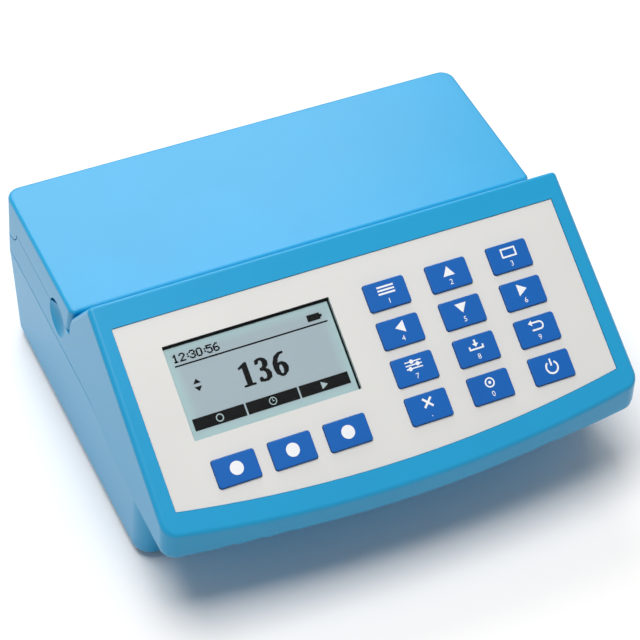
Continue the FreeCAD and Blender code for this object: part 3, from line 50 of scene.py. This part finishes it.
camera = bpy.data.objects.new("camera", bpy.data.cameras.new("camera"))
scene.collection.objects.link(camera)
camera.data.sensor_width = view["film"]
camera.data.lens = view["lens"]
camera.data.clip_start, camera.data.clip_end = view["near"], view["far"]
camera.location = view["place"]
camera.rotation_euler = [math.radians(angle) for angle in view["turn"]]
scene.camera = camera
print("stage: camera")


# Shader helpers

def treeTools(tree):
    # A short way to add and join the nodes of one tree
    def add(kind, **settings):
        node = tree.nodes.new("ShaderNode" + kind)
        for name, value in settings.items():
            setattr(node, name, value)
        return node

    def link(start, end):
        tree.links.new(start, end)

    return tree, add, link


def nodeTree(owner):
    # The emptied shader tree of a material or the world
    owner.node_tree.nodes.clear()
    return treeTools(owner.node_tree)


def newMaterial(name):
    material = bpy.data.materials.new(name)
    material.use_nodes = True
    return material


# The shared grain: fine bumps, slow unevenness of the colour and a faint change of the gloss
grainLook = {"detail": 3, "harshness": 0.6, "strength": 0.35, "slowScale": 26, "slowDetail": 2, "gloss": 0.12}


def mouldedGroup():
    # Color times 1 +- Drift, Roughness plus a share of the fine noise, and a Normal from the fine noise
    group = bpy.data.node_groups.new("mouldedGrain", "ShaderNodeTree")
    given = (("Color", "NodeSocketColor", (0.8, 0.8, 0.8, 1)), ("Roughness", "NodeSocketFloat", 0.4),
             ("Grain", "NodeSocketFloat", 2600.0), ("Depth", "NodeSocketFloat", 0.00002),
             ("Drift", "NodeSocketFloat", 0.04))
    for label, kind, start in given:
        group.interface.new_socket(label, in_out="INPUT", socket_type=kind).default_value = start
    for label, kind in (("Color", "NodeSocketColor"), ("Roughness", "NodeSocketFloat"), ("Normal", "NodeSocketVector")):
        group.interface.new_socket(label, in_out="OUTPUT", socket_type=kind)
    source, result = group.nodes.new("NodeGroupInput"), group.nodes.new("NodeGroupOutput")
    tree, add, link = treeTools(group)
    place, fine, slow, bump = add("TexCoord"), add("TexNoise"), add("TexNoise"), add("Bump")
    fine.inputs["Detail"].default_value = grainLook["detail"]
    fine.inputs["Roughness"].default_value = grainLook["harshness"]
    slow.inputs["Scale"].default_value = grainLook["slowScale"]
    slow.inputs["Detail"].default_value = grainLook["slowDetail"]
    bump.inputs["Strength"].default_value = grainLook["strength"]
    link(place.outputs["Object"], fine.inputs["Vector"])
    link(place.outputs["Object"], slow.inputs["Vector"])
    link(source.outputs["Grain"], fine.inputs["Scale"])
    link(source.outputs["Depth"], bump.inputs["Distance"])
    link(fine.outputs["Fac"], bump.inputs["Height"])
    span, minus, plus = add("MapRange"), add("Math", operation="SUBTRACT"), add("Math", operation="ADD")
    tint, gloss = add("VectorMath", operation="SCALE"), add("Math", operation="MULTIPLY_ADD")
    span.inputs["From Min"].default_value, span.inputs["From Max"].default_value = 0.3, 0.7
    minus.inputs[0].default_value = plus.inputs[0].default_value = 1
    gloss.inputs[1].default_value = grainLook["gloss"]
    link(source.outputs["Drift"], minus.inputs[1])
    link(source.outputs["Drift"], plus.inputs[1])
    link(slow.outputs["Fac"], span.inputs["Value"])
    link(minus.outputs[0], span.inputs["To Min"])
    link(plus.outputs[0], span.inputs["To Max"])
    link(source.outputs["Color"], tint.inputs[0])
    link(span.outputs["Result"], tint.inputs["Scale"])
    link(fine.outputs["Fac"], gloss.inputs[0])
    link(source.outputs["Roughness"], gloss.inputs[2])
    link(tint.outputs["Vector"], result.inputs["Color"])
    link(gloss.outputs[0], result.inputs["Roughness"])
    link(bump.outputs["Normal"], result.inputs["Normal"])
    return group


mouldedGrain = mouldedGroup()


def moulded(name, color, roughness, grain=2600, depth=0.00002, drift=0.04, specular=0.5):
    # A plastic, rubber or paint skin that uses the shared grain
    material = newMaterial(name)
    tree, add, link = nodeTree(material)
    skin, shader = add("Group"), add("BsdfPrincipled")
    skin.node_tree = mouldedGrain
    given = {"Color": (*color, 1), "Roughness": roughness, "Grain": grain, "Depth": depth, "Drift": drift}
    for label, value in given.items():
        skin.inputs[label].default_value = value
    shader.inputs["Specular IOR Level"].default_value = specular
    for label in ("Roughness", "Normal"):
        link(skin.outputs[label], shader.inputs[label])
    link(skin.outputs["Color"], shader.inputs["Base Color"])
    link(shader.outputs[0], add("OutputMaterial").inputs["Surface"])
    return material


# Fine lines on metal, and the slow waves of clear plates: how closely they stand, how deep and how strong
brushLook = {"scale": (60, 4000, 4000), "depth": 0.00001, "strength": 0.4}
waveLook = {"scale": 90, "depth": 0.00003, "strength": 0.2, "specular": 0.2}


def brushed(name, color, roughness):
    # Metal with fine lines along X: noise stretched by the scale, as bumps
    material = newMaterial(name)
    tree, add, link = nodeTree(material)
    place, stretch, lines = add("TexCoord"), add("Mapping"), add("TexNoise")
    bump, shader = add("Bump"), add("BsdfPrincipled")
    stretch.inputs["Scale"].default_value = brushLook["scale"]
    lines.inputs["Scale"].default_value = 1
    bump.inputs["Distance"].default_value = brushLook["depth"]
    bump.inputs["Strength"].default_value = brushLook["strength"]
    shader.inputs["Base Color"].default_value = (*color, 1)
    shader.inputs["Metallic"].default_value = 1
    shader.inputs["Roughness"].default_value = roughness
    link(place.outputs["Object"], stretch.inputs["Vector"])
    link(stretch.outputs["Vector"], lines.inputs["Vector"])
    link(lines.outputs["Fac"], bump.inputs["Height"])
    link(bump.outputs["Normal"], shader.inputs["Normal"])
    link(shader.outputs[0], add("OutputMaterial").inputs["Surface"])
    return material


def clear(name, color, alpha, roughness):
    # Thin clear plastic or glass, faintly uneven: slow noise as bumps
    material = newMaterial(name)
    tree, add, link = nodeTree(material)
    place, waves, bump, shader = add("TexCoord"), add("TexNoise"), add("Bump"), add("BsdfPrincipled")
    waves.inputs["Scale"].default_value = waveLook["scale"]
    bump.inputs["Distance"].default_value = waveLook["depth"]
    bump.inputs["Strength"].default_value = waveLook["strength"]
    shader.inputs["Base Color"].default_value = (*color, 1)
    shader.inputs["Roughness"].default_value = roughness
    shader.inputs["Alpha"].default_value = alpha
    shader.inputs["Specular IOR Level"].default_value = waveLook["specular"]
    link(place.outputs["Object"], waves.inputs["Vector"])
    link(waves.outputs["Fac"], bump.inputs["Height"])
    link(bump.outputs["Normal"], shader.inputs["Normal"])
    link(shader.outputs[0], add("OutputMaterial").inputs["Surface"])
    return material


def dress(material, *names):
    # The CAD nodes of these names wear the material
    for name in names:
        mesh = nodes[name].data
        mesh.materials.clear()
        mesh.materials.append(material)


# Every finish: colour and roughness, and where they differ the grain, its depth, the drift and the specular level
plastics = {
    "blueShell": dict(color=(0.0, 0.315, 0.60), roughness=0.25, grain=2400, depth=0.000025, drift=0.02, specular=0.45),
    "filmGrey": dict(color=(0.715, 0.71, 0.69), roughness=0.42, grain=5200, depth=0.00001, drift=0.015),
    "keyBlue": dict(color=(0.0, 0.108, 0.43), roughness=0.36, grain=4200, depth=0.00001, drift=0.03, specular=0.3),
    "printWhite": dict(color=(0.86, 0.88, 0.9), roughness=0.5, grain=5200, depth=0.000004, drift=0.02),
    "blackPlastic": dict(color=(0.018, 0.018, 0.02), roughness=0.42),
    "footRubber": dict(color=(0.02, 0.02, 0.022), roughness=0.72, grain=1500, depth=0.00006),
    "gasketFoam": dict(color=(0.028, 0.028, 0.03), roughness=0.9, grain=900, depth=0.0003, drift=0.15),
    "solderMask": dict(color=(0.01, 0.12, 0.045), roughness=0.3, grain=700, depth=0.00002, drift=0.1),
    "whiteDiffuser": dict(color=(0.75, 0.78, 0.76), roughness=0.3),
    "cellSleeve": dict(color=(0.02, 0.05, 0.11), roughness=0.35),
    "ribbonGrey": dict(color=(0.36, 0.37, 0.39), roughness=0.5),
    "lcdInk": dict(color=(0.0012, 0.0014, 0.0018), roughness=0.5, grain=6000, depth=0.000002, drift=0.02, specular=0.1),
    "lcdPale": dict(color=(0.42, 0.56, 0.58), roughness=0.35, grain=6000, depth=0.000002, drift=0.01),
}
metals = {
    "screwSteel": dict(color=(0.62, 0.62, 0.63), roughness=0.3),
    "springSteel": dict(color=(0.72, 0.71, 0.68), roughness=0.22),
}
clears = {
    "windowClear": dict(color=(0.05, 0.06, 0.06), alpha=0.03, roughness=0.08),
    "lensClear": dict(color=(0.85, 0.9, 0.95), alpha=0.4, roughness=0.03),
    "filterCoat": dict(color=(0.32, 0.12, 0.5), alpha=0.8, roughness=0.05),
}

finish = {name: moulded(name, **look) for name, look in plastics.items()}
finish.update({name: brushed(name, **look) for name, look in metals.items()})
finish.update({name: clear(name, **look) for name, look in clears.items()})

wearing = {
    "blueShell": ("upper_housing", "lower_housing", "lid"),
    "filmGrey": ("membrane_overlay",),
    "keyBlue": sorted(name for name in nodes if name.startswith(("key_row", "function_key"))),
    "windowClear": ("display_window",),
    "blackPlastic": ("lcd_frame", "cuvette_holder", "optics_block", "board_headers", "board_chips", "electrode_jack",
                     "sample_detectors"),
    "whiteDiffuser": ("lcd_backlight", "led_sources"),
    "solderMask": ("keypad_board", "main_board", "port_board"),
    "springSteel": ("key_domes", "usb_a_socket", "micro_usb_socket"),
    "screwSteel": ("keypad_board_screws", "main_board_screws", "optics_screws", "port_board_screws", "case_screws",
                   "hinge_pins"),
    "footRubber": ("rubber_feet", "holder_seal"),
    "gasketFoam": ("lid_gasket",),
    "printWhite": ("index_mark",),
    "lensClear": ("source_lenses",),
    "filterCoat": ("interference_filters",),
    "cellSleeve": ("battery_pack",),
    "ribbonGrey": ("ribbon_cable",),
}
for name, worn in wearing.items():
    dress(finish[name], *worn)
print("stage: materials")


# The sloping panel's own frame: x across, y up the slope from the overlay's upper edge, z out of it

panel = {"rise": 0.0517648, "run": 0.088, "upperEdge": -0.0121}  # slope of the panel, and where the overlay starts
tilt = math.atan(panel["rise"] / panel["run"])
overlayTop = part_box("membrane_overlay")[1][2]
panelMatrix = Matrix.Translation((0, panel["upperEdge"], overlayTop)) @ Matrix.Rotation(tilt, 4, "X")


# Printed marks: flat outlines filled and laid just above the surface they are printed on

def meshOf(holder):
    # The mesh that a curve or text object makes; the object itself goes
    scene.collection.objects.link(holder)
    bpy.context.view_layer.update()
    mesh = bpy.data.meshes.new_from_object(holder.evaluated_get(bpy.context.evaluated_depsgraph_get()))
    source = holder.data
    bpy.data.objects.remove(holder)
    bpy.data.curves.remove(source)
    return mesh


def filled(points, holes):
    # The faces of one closed outline with its holes, as a mesh in the plane z = 0
    curve = bpy.data.curves.new("outline", "CURVE")
    curve.dimensions = "2D"
    curve.fill_mode = "FRONT"
    for ring in [points] + holes:
        spline = curve.splines.new("POLY")
        spline.points.add(len(ring) - 1)
        spline.points.foreach_set("co", np.array([(x, y, 0, 1) for x, y in ring], dtype=np.float32).ravel())
        spline.use_cyclic_u = True
    return meshOf(bpy.data.objects.new("outline", curve))


def contains(ring, point):
    # Counts the sides of the ring to the right of the point: an odd count lies inside
    inside = False
    for (x1, y1), (x2, y2) in zip(ring, ring[1:] + ring[:1]):
        if (y1 > point[1]) != (y2 > point[1]) and point[0] < (x2 - x1) * (point[1] - y1) / (y2 - y1) + x1:
            inside = not inside
    return inside


def flatMesh(name, loops, holes=()):
    # Closed outlines filled one by one, so that strokes may cross; holes are cut from what holds them
    points, faces = [], []
    for index, ring in enumerate(loops):
        mesh = filled(ring, [hole for hole in holes if contains(ring, hole[0])])
        start = len(points)
        points += [(vertex.co.x, vertex.co.y, index * 0.000002) for vertex in mesh.vertices]
        faces += [[start + corner for corner in face.vertices] for face in mesh.polygons]
        bpy.data.meshes.remove(mesh)
    whole = bpy.data.meshes.new(name)
    whole.from_pydata(points, [], faces)
    return whole


def textMesh(words, size):
    # Generic digits in the plain built-in face, their middle at the origin
    curve = bpy.data.curves.new("digit", "FONT")
    curve.body = words
    curve.size = size
    curve.align_x = curve.align_y = "CENTER"
    curve.resolution_u = 3
    return meshOf(bpy.data.objects.new("digit", curve))


def printOn(name, mesh, matrix, material, body):
    # Makes a printed piece out of a flat mesh, moved into the row frame
    mesh.transform(matrix)
    mesh.materials.clear()
    mesh.materials.append(material)
    piece = bpy.data.objects.new(name, mesh)
    scene.collection.objects.link(piece)
    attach(piece, body)


# Outlines of marks, each a closed ring of (x, y)

def disc(radius, x=0.0, y=0.0, count=40):
    # Points at equal angles round a middle
    return [(x + radius * math.cos(2 * math.pi * i / count), y + radius * math.sin(2 * math.pi * i / count))
            for i in range(count)]


def bar(width, height, x=0.0, y=0.0):
    # A rectangle round its middle
    return [(x - width / 2, y - height / 2), (x + width / 2, y - height / 2),
            (x + width / 2, y + height / 2), (x - width / 2, y + height / 2)]


def ringArc(radius, thick, start, end, count=36):
    # A bent stroke as one closed outline, angles in degrees
    angles = [math.radians(start + (end - start) * i / count) for i in range(count + 1)]
    outer = [((radius + thick / 2) * math.cos(a), (radius + thick / 2) * math.sin(a)) for a in angles]
    inner = [((radius - thick / 2) * math.cos(a), (radius - thick / 2) * math.sin(a)) for a in reversed(angles)]
    return outer + inner


def triangle(width, height, turn=0.0):
    # Points up the y axis before it is turned
    return moved([(-width / 2, -height / 2), (width / 2, -height / 2), (0, height / 2)], turn=turn)


def moved(points, x=0.0, y=0.0, turn=0.0):
    # Turned about the origin by an angle in degrees, then shifted
    c, s = math.cos(math.radians(turn)), math.sin(math.radians(turn))
    return [(x + px * c - py * s, y + px * s + py * c) for px, py in points]


# The keys' printed marks, in millimetres; the face and the lift are in metres above the overlay
keyPrint = {"face": 0.001, "lift": 0.00003, "iconHeight": 1.6, "digit": 3.1, "digitDrop": 3.2, "dot": 2.75}
mm = 0.001


def keyMatrix(name):
    # A flat mark's place on the middle of a key's face
    low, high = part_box(name)
    local = panelMatrix.inverted() @ ((Vector(low) + Vector(high)) / 2)
    return panelMatrix @ Matrix.Translation((local.x, local.y, keyPrint["face"] + keyPrint["lift"]))


def markKey(name, parts):
    # The prints ride on the key's own body
    body = name + "_body"
    for index, mesh in enumerate(parts):
        printOn(f"{name}_print_{index + 1}", mesh, keyMatrix(name), finish["printWhite"], body)


def flat(outlines, holes=()):
    # A flat mark whose outlines are given in millimetres
    inMetres = lambda rings: [[(x * mm, y * mm) for x, y in ring] for ring in rings]
    return flatMesh("mark", inMetres(outlines), inMetres(holes))


iconMiddle = keyPrint["iconHeight"]
rowHeights = (0.2, 1.6, 3.0)  # three lines one above another


def pointer(turn):
    return flat([moved(triangle(5.0, 4.0), 0, 1.5, turn)])


def linesIcon():
    return flat([bar(7.2, 0.75, 0, y) for y in rowHeights])


def frameIcon():
    return flat([bar(6.6, 4.0, 0, iconMiddle)], [bar(5.2, 2.6, 0, iconMiddle)])


def sliderIcon():
    knobs = [disc(0.85, x, y, 20) for x, y in zip((-1.9, 1.7, -0.6), rowHeights)]
    return flat([bar(7.0, 0.5, 0, y) for y in rowHeights] + knobs)


def trayIcon():
    tray = [(-3.2, 1.4), (-3.2, -0.3), (3.2, -0.3), (3.2, 1.4), (2.5, 1.4), (2.5, 0.4), (-2.5, 0.4), (-2.5, 1.4)]
    return flat([tray, bar(0.8, 1.7, 0, 3.0), moved(triangle(2.8, 1.5), 0, 1.6, 180)])


def returnIcon():
    hook = moved(ringArc(1.5, 0.7, -90, 90, 18), 1.4, iconMiddle)
    return flat([hook, bar(3.2, 0.7, -0.2, 3.1), bar(3.6, 0.7, -0.4, 0.1), moved(triangle(2.4, 1.7), -2.4, 3.1, 90)])


def crossIcon():
    return flat([moved(bar(5.2, 0.9), 0, iconMiddle, turn) for turn in (45, -45)])


def ringIcon():
    return flat([disc(2.1, 0, iconMiddle), disc(0.65, 0, iconMiddle, 20)], [disc(1.5, 0, iconMiddle)])


def powerIcon():
    return flat([moved(ringArc(2.5, 0.75, 125, 415), 0, -0.2), bar(0.75, 2.9, 0, 1.9)])


keyMarks = {
    "key_row1_column1": (linesIcon(), "1"), "key_row1_column2": (pointer(0), "2"),
    "key_row1_column3": (frameIcon(), "3"),
    "key_row2_column1": (pointer(90), "4"), "key_row2_column2": (pointer(180), "5"),
    "key_row2_column3": (pointer(-90), "6"),
    "key_row3_column1": (sliderIcon(), "7"), "key_row3_column2": (trayIcon(), "8"),
    "key_row3_column3": (returnIcon(), "9"),
    "key_row4_column1": (crossIcon(), "."), "key_row4_column2": (ringIcon(), "0"),
    "key_row4_column3": (powerIcon(), ""),
}
for name, (mark, digit) in keyMarks.items():
    marks = [mark]
    if digit:
        label = textMesh(digit, keyPrint["digit"] * mm)
        label.transform(Matrix.Translation((0, -keyPrint["digitDrop"] * mm, 0)))
        marks.append(label)
    markKey(name, marks)
for index in (1, 2, 3):
    markKey(f"function_key_{index}", [flat([disc(keyPrint["dot"])])])
print("stage: key marks")


# What the display shows: plain digits and icons in dark segments on the face of the glass

# The visible window in the panel's frame, and its own face: colours, and where its paler edge begins and ends
screen = {"middle": (-0.04398, -0.0312), "size": (0.0703, 0.0384), "deep": -0.0016, "lift": 0.00004,
          "face": (0.395, 0.495, 0.545, 1), "edge": (0.43, 0.62, 0.64, 1), "edgeFrom": 0.0065, "edgeTo": 0.0005}
screenMatrix = panelMatrix @ Matrix.Translation((0, 0, screen["deep"] + screen["lift"]))


def displayFace():
    # Grey-blue glass, paler by the larger of its two distances from the middle of the window
    material = newMaterial("lcdFace")
    tree, add, link = nodeTree(material)
    place, edge = add("TexCoord"), add("Math", operation="MAXIMUM")
    ramp, shader = add("ValToRGB"), add("BsdfPrincipled")
    middle = panelMatrix @ Vector((*screen["middle"], 0))
    for slot, direction in enumerate((Vector((1, 0, 0)), Vector((0, math.cos(tilt), math.sin(tilt))))):
        half = screen["size"][slot] / 2
        along, offset = add("VectorMath", operation="DOT_PRODUCT"), add("Math", operation="SUBTRACT")
        size, reach = add("Math", operation="ABSOLUTE"), add("MapRange", interpolation_type="SMOOTHSTEP")
        along.inputs[1].default_value = direction
        offset.inputs[1].default_value = middle.dot(direction)
        reach.inputs["From Min"].default_value = half - screen["edgeFrom"]
        reach.inputs["From Max"].default_value = half - screen["edgeTo"]
        link(place.outputs["Object"], along.inputs[0])
        link(along.outputs["Value"], offset.inputs[0])
        link(offset.outputs[0], size.inputs[0])
        link(size.outputs[0], reach.inputs["Value"])
        link(reach.outputs["Result"], edge.inputs[slot])
    ramp.color_ramp.elements[0].color = screen["face"]
    ramp.color_ramp.elements[1].color = screen["edge"]
    shader.inputs["Roughness"].default_value = 0.3
    link(edge.outputs[0], ramp.inputs["Fac"])
    link(ramp.outputs["Color"], shader.inputs["Base Color"])
    link(shader.outputs[0], add("OutputMaterial").inputs["Surface"])
    return material


dress(displayFace(), "lcd_glass")


def screenPoint(across, down):
    # A point of the face from its share across and down the visible window
    return (screen["middle"][0] + (across - 0.5) * screen["size"][0],
            screen["middle"][1] + (0.5 - down) * screen["size"][1])


def screenPatch(left, right, top, bottom):
    # A rectangle of the face, its four edges given as shares
    return [screenPoint(left, bottom), screenPoint(right, bottom), screenPoint(right, top), screenPoint(left, top)]


def dotDigits(words, dot, x, y):
    # Digits built of square dots, five across and seven down, from the strokes of each figure
    strokes = {
        "0": ((0, 1, 0, 5), (4, 1, 4, 5), (1, 0, 3, 0), (1, 6, 3, 6)),
        "1": ((2, 0, 2, 6), (1, 1, 1, 1), (1, 6, 3, 6)),
        "2": ((0, 1, 0, 1), (1, 0, 3, 0), (4, 1, 4, 2), (3, 3, 3, 3), (2, 4, 2, 4), (1, 5, 1, 5), (0, 6, 4, 6)),
        "3": ((0, 1, 0, 1), (1, 0, 3, 0), (4, 1, 4, 2), (2, 3, 3, 3), (4, 4, 4, 5), (1, 6, 3, 6), (0, 5, 0, 5)),
        "5": ((0, 0, 4, 0), (0, 1, 0, 2), (1, 2, 3, 2), (4, 3, 4, 5), (1, 6, 3, 6), (0, 5, 0, 5)),
        "6": ((2, 0, 3, 0), (1, 1, 1, 1), (0, 2, 0, 5), (1, 3, 3, 3), (4, 4, 4, 5), (1, 6, 3, 6)),
        ":": ((1, 2, 1, 2), (1, 4, 1, 4)),
    }
    boxes = []
    for sign in words:
        for x1, y1, x2, y2 in strokes[sign]:
            left, right = x + (x1 - 0.25) * dot, x + (x2 + 1.25) * dot
            low, high = y - (y2 + 1.15) * dot, y - (y1 - 0.15) * dot
            boxes.append([(left, low), (right, low), (right, high), (left, high)])
        x += (3 if sign == ":" else 6) * dot
    return boxes


def patchMesh(boxes, lift=0.0):
    # Every box becomes its own four-cornered face
    mesh = bpy.data.meshes.new("patches")
    points = np.array([(x, y, lift) for box in boxes for x, y in box])
    mesh.from_pydata(points, [], [[4 * i, 4 * i + 1, 4 * i + 2, 4 * i + 3] for i in range(len(boxes))])
    return mesh


def bigDigits(words, height, x, y):
    # Heavy figures with feet, in shares of their height, standing on the line y
    shapes = {
        "1": [[(0.14, 0), (0.66, 0), (0.66, 0.08), (0.53, 0.10), (0.53, 1), (0.42, 1), (0.12, 0.84), (0.12, 0.75),
               (0.28, 0.79), (0.28, 0.10), (0.14, 0.08)]],
        "6": [[(0.30, 0), (0.46, 0), (0.64, 0.14), (0.70, 0.32), (0.64, 0.50), (0.48, 0.60), (0.34, 0.60),
               (0.30, 0.57), (0.36, 0.74), (0.49, 0.88), (0.65, 0.91), (0.65, 1), (0.44, 1), (0.22, 0.88),
               (0.08, 0.62), (0.06, 0.36), (0.12, 0.14)]],
        "3": [[(0.10, 0.20), (0.10, 0.04), (0.28, 0), (0.46, 0), (0.64, 0.10), (0.68, 0.28), (0.62, 0.44),
               (0.50, 0.52), (0.62, 0.62), (0.65, 0.78), (0.58, 0.92), (0.42, 1), (0.28, 1), (0.12, 0.94),
               (0.10, 0.76), (0.23, 0.76), (0.29, 0.88), (0.37, 0.88), (0.41, 0.79), (0.39, 0.66), (0.32, 0.59),
               (0.24, 0.58), (0.24, 0.46), (0.36, 0.44), (0.43, 0.38), (0.45, 0.24), (0.40, 0.13), (0.30, 0.11),
               (0.23, 0.24)]],
    }
    holes = {"6": [[(0.37, 0.10), (0.32, 0.16), (0.30, 0.33), (0.32, 0.43), (0.38, 0.48), (0.43, 0.45),
                    (0.46, 0.32), (0.43, 0.15)]]}
    outlines, gaps = [], []
    for sign in words:
        for part in shapes[sign]:
            outlines.append([(x + px * height, y + py * height) for px, py in part])
        for part in holes.get(sign, []):
            gaps.append([(x + px * height, y + py * height) for px, py in part])
        x += 0.74 * height
    return flatMesh("figures", outlines, gaps)


# What stands where on the face, in shares across and down, and sizes in metres
shown = {
    "time": "12:30:56", "timeDot": 0.00047, "timePlace": (0.040, 0.104),
    "reading": "136", "readingTall": 0.0096, "readingPlace": (0.355, 0.632),
    "battery": ((0.845, 0.922, 0.115, 0.185), (0.922, 0.934, 0.135, 0.165)),
    "rule": (0.04, 0.955, 0.217, 0.233),
    "barAcross": ((0.03, 0.335), (0.345, 0.653), (0.663, 0.96)), "barDown": (0.78, 0.905),
    "arrows": (0.127, 0.462), "arrowWide": 0.045,
    "iconAcross": (0.183, 0.499, 0.811), "iconDown": 0.8425, "iconSize": 0.0016, "iconLift": 0.00003,
}
frameEdge = {"top": 0.0011, "right": 0.0008, "left": 0.0003, "bottom": 0.0002, "lift": 0.00008}


def printOnScreen(name, mesh, material, lift=0.0):
    printOn(name, mesh, screenMatrix @ Matrix.Translation((0, 0, lift)), material, "case")


def makeScreen():
    ink, pale = finish["lcdInk"], finish["lcdPale"]
    patches = dotDigits(shown["time"], shown["timeDot"], *screenPoint(*shown["timePlace"]))
    patches += [screenPatch(*patch) for patch in (*shown["battery"], shown["rule"])]
    patches += [screenPatch(*across, *shown["barDown"]) for across in shown["barAcross"]]
    printOnScreen("display_segments", patchMesh(patches), ink)
    reading = bigDigits(shown["reading"], shown["readingTall"], *screenPoint(*shown["readingPlace"]))
    printOnScreen("display_figures", reading, ink)
    x, y = screenPoint(*shown["arrows"])
    wide = shown["arrowWide"] * screen["size"][0]
    arrows = [moved(triangle(wide, 0.6 * wide), x, y + side * 0.5 * wide, turn) for side, turn in ((1, 0), (-1, 180))]
    printOnScreen("display_arrows", flatMesh("arrows", arrows), ink)
    # A ring, a clock and a pointer, pale on the three dark bars
    size, lift = shown["iconSize"], shown["iconLift"]
    ringPlace, clockPlace, pointerPlace = (screenPoint(share, shown["iconDown"]) for share in shown["iconAcross"])
    icons = [disc(size, *ringPlace, 28), disc(size, *clockPlace, 28),
             moved(triangle(1.9 * size, 1.7 * size), *pointerPlace, -90)]
    inner = [disc(0.72 * size, *ringPlace, 28), disc(0.78 * size, *clockPlace, 28)]
    printOnScreen("display_icons", flatMesh("icons", icons, inner), pale, lift)
    clockX, clockY = clockPlace
    hands = [bar(0.00026, 0.0010, clockX, clockY + 0.0005), bar(0.0008, 0.00026, clockX + 0.0003, clockY)]
    printOnScreen("display_hands", flatMesh("hands", hands), pale, lift)


def makeScreenEdge():
    # The dark edge of the display frame, seen round the face through the window: four strips
    low, high = screenPoint(0, 1), screenPoint(1, 0)
    top, right, left, bottom = (frameEdge[side] for side in ("top", "right", "left", "bottom"))
    wide, middle = high[0] - low[0], (low[0] + high[0]) / 2
    tall = high[1] - low[1] - top - bottom
    height = low[1] + bottom + tall / 2
    strips = [bar(wide, top, middle, high[1] - top / 2), bar(wide, bottom, middle, low[1] + bottom / 2),
              bar(right, tall, high[0] - right / 2, height), bar(left, tall, low[0] + left / 2, height)]
    printOnScreen("display_edge", patchMesh(strips, frameEdge["lift"]), finish["lcdInk"])


makeScreen()
makeScreenEdge()
print("stage: display")


# Floor and light

floorLook = {"reach": 8, "color": (0.98, 0.965, 0.95, 1), "roughness": 0.8, "specular": 0.1,
             "whiteFrom": 0.20, "whiteTo": 0.42}
lamps = {
    "keyLight": dict(place=(-0.25, 0.08, 1.5), aim=(0, 0, 0.03), size=(0.9, 0.9), power=19.2),
    "backLight": dict(place=(0.20, 1.02, 1.02), aim=(0, 0.04, 0.07), size=(0.9, 0.5), power=6.2),
}
worldLight = {"even": 0.25, "backdrop": 1}


def makeFloor():
    # A pale plane that keeps the shadow near the object and turns white for the camera farther out
    mesh = bpy.data.meshes.new("floor")
    mesh.from_pydata([(x, y, 0) for x, y in bar(2 * floorLook["reach"], 2 * floorLook["reach"])], [], [(0, 1, 2, 3)])
    floor = bpy.data.objects.new("floor", mesh)
    scene.collection.objects.link(floor)
    material = newMaterial("paleFloor")
    tree, add, link = nodeTree(material)
    place, away, fade = add("TexCoord"), add("VectorMath", operation="LENGTH"), add("MapRange")
    path, far = add("LightPath"), add("Math", operation="MULTIPLY")
    shader, white, choice = add("BsdfPrincipled"), add("Emission"), add("MixShader")
    shader.inputs["Base Color"].default_value = floorLook["color"]
    shader.inputs["Roughness"].default_value = floorLook["roughness"]
    shader.inputs["Specular IOR Level"].default_value = floorLook["specular"]
    fade.inputs["From Min"].default_value = floorLook["whiteFrom"]
    fade.inputs["From Max"].default_value = floorLook["whiteTo"]
    white.inputs["Strength"].default_value = 1
    link(place.outputs["Object"], away.inputs[0])
    link(away.outputs["Value"], fade.inputs["Value"])
    link(fade.outputs["Result"], far.inputs[0])
    link(path.outputs["Is Camera Ray"], far.inputs[1])
    link(far.outputs[0], choice.inputs["Fac"])
    link(shader.outputs[0], choice.inputs[1])
    link(white.outputs[0], choice.inputs[2])
    link(choice.outputs[0], add("OutputMaterial").inputs["Surface"])
    mesh.materials.append(material)


def areaLight(name, place, aim, size, power):
    # A soft rectangular lamp turned towards its aim
    light = bpy.data.lights.new(name, "AREA")
    light.shape = "RECTANGLE"
    light.size, light.size_y = size
    light.energy = power
    holder = bpy.data.objects.new(name, light)
    holder.location = place
    holder.rotation_euler = (Vector(aim) - Vector(place)).to_track_quat("-Z", "Y").to_euler()
    scene.collection.objects.link(holder)


def makeWorld():
    # Even soft light, with a white backdrop for the camera, gloss and glass
    world = bpy.data.worlds.new("studio")
    scene.world = world
    world.use_nodes = True
    tree, add, link = nodeTree(world)
    path, either, seen = add("LightPath"), add("Math", operation="MAXIMUM"), add("Math", operation="MAXIMUM")
    even, backdrop, choice = add("Background"), add("Background"), add("MixShader")
    even.inputs["Color"].default_value = backdrop.inputs["Color"].default_value = (1, 1, 1, 1)
    even.inputs["Strength"].default_value = worldLight["even"]
    backdrop.inputs["Strength"].default_value = worldLight["backdrop"]
    link(path.outputs["Is Camera Ray"], either.inputs[0])
    link(path.outputs["Is Transmission Ray"], either.inputs[1])
    link(either.outputs[0], seen.inputs[0])
    link(path.outputs["Is Glossy Ray"], seen.inputs[1])
    link(seen.outputs[0], choice.inputs["Fac"])
    link(even.outputs[0], choice.inputs[1])
    link(backdrop.outputs[0], choice.inputs[2])
    link(choice.outputs[0], add("OutputWorld").inputs["Surface"])


makeFloor()
makeWorld()
for name, lamp in lamps.items():
    areaLight(name, **lamp)
scene.view_settings.view_transform = "Standard"
print("stage: light")
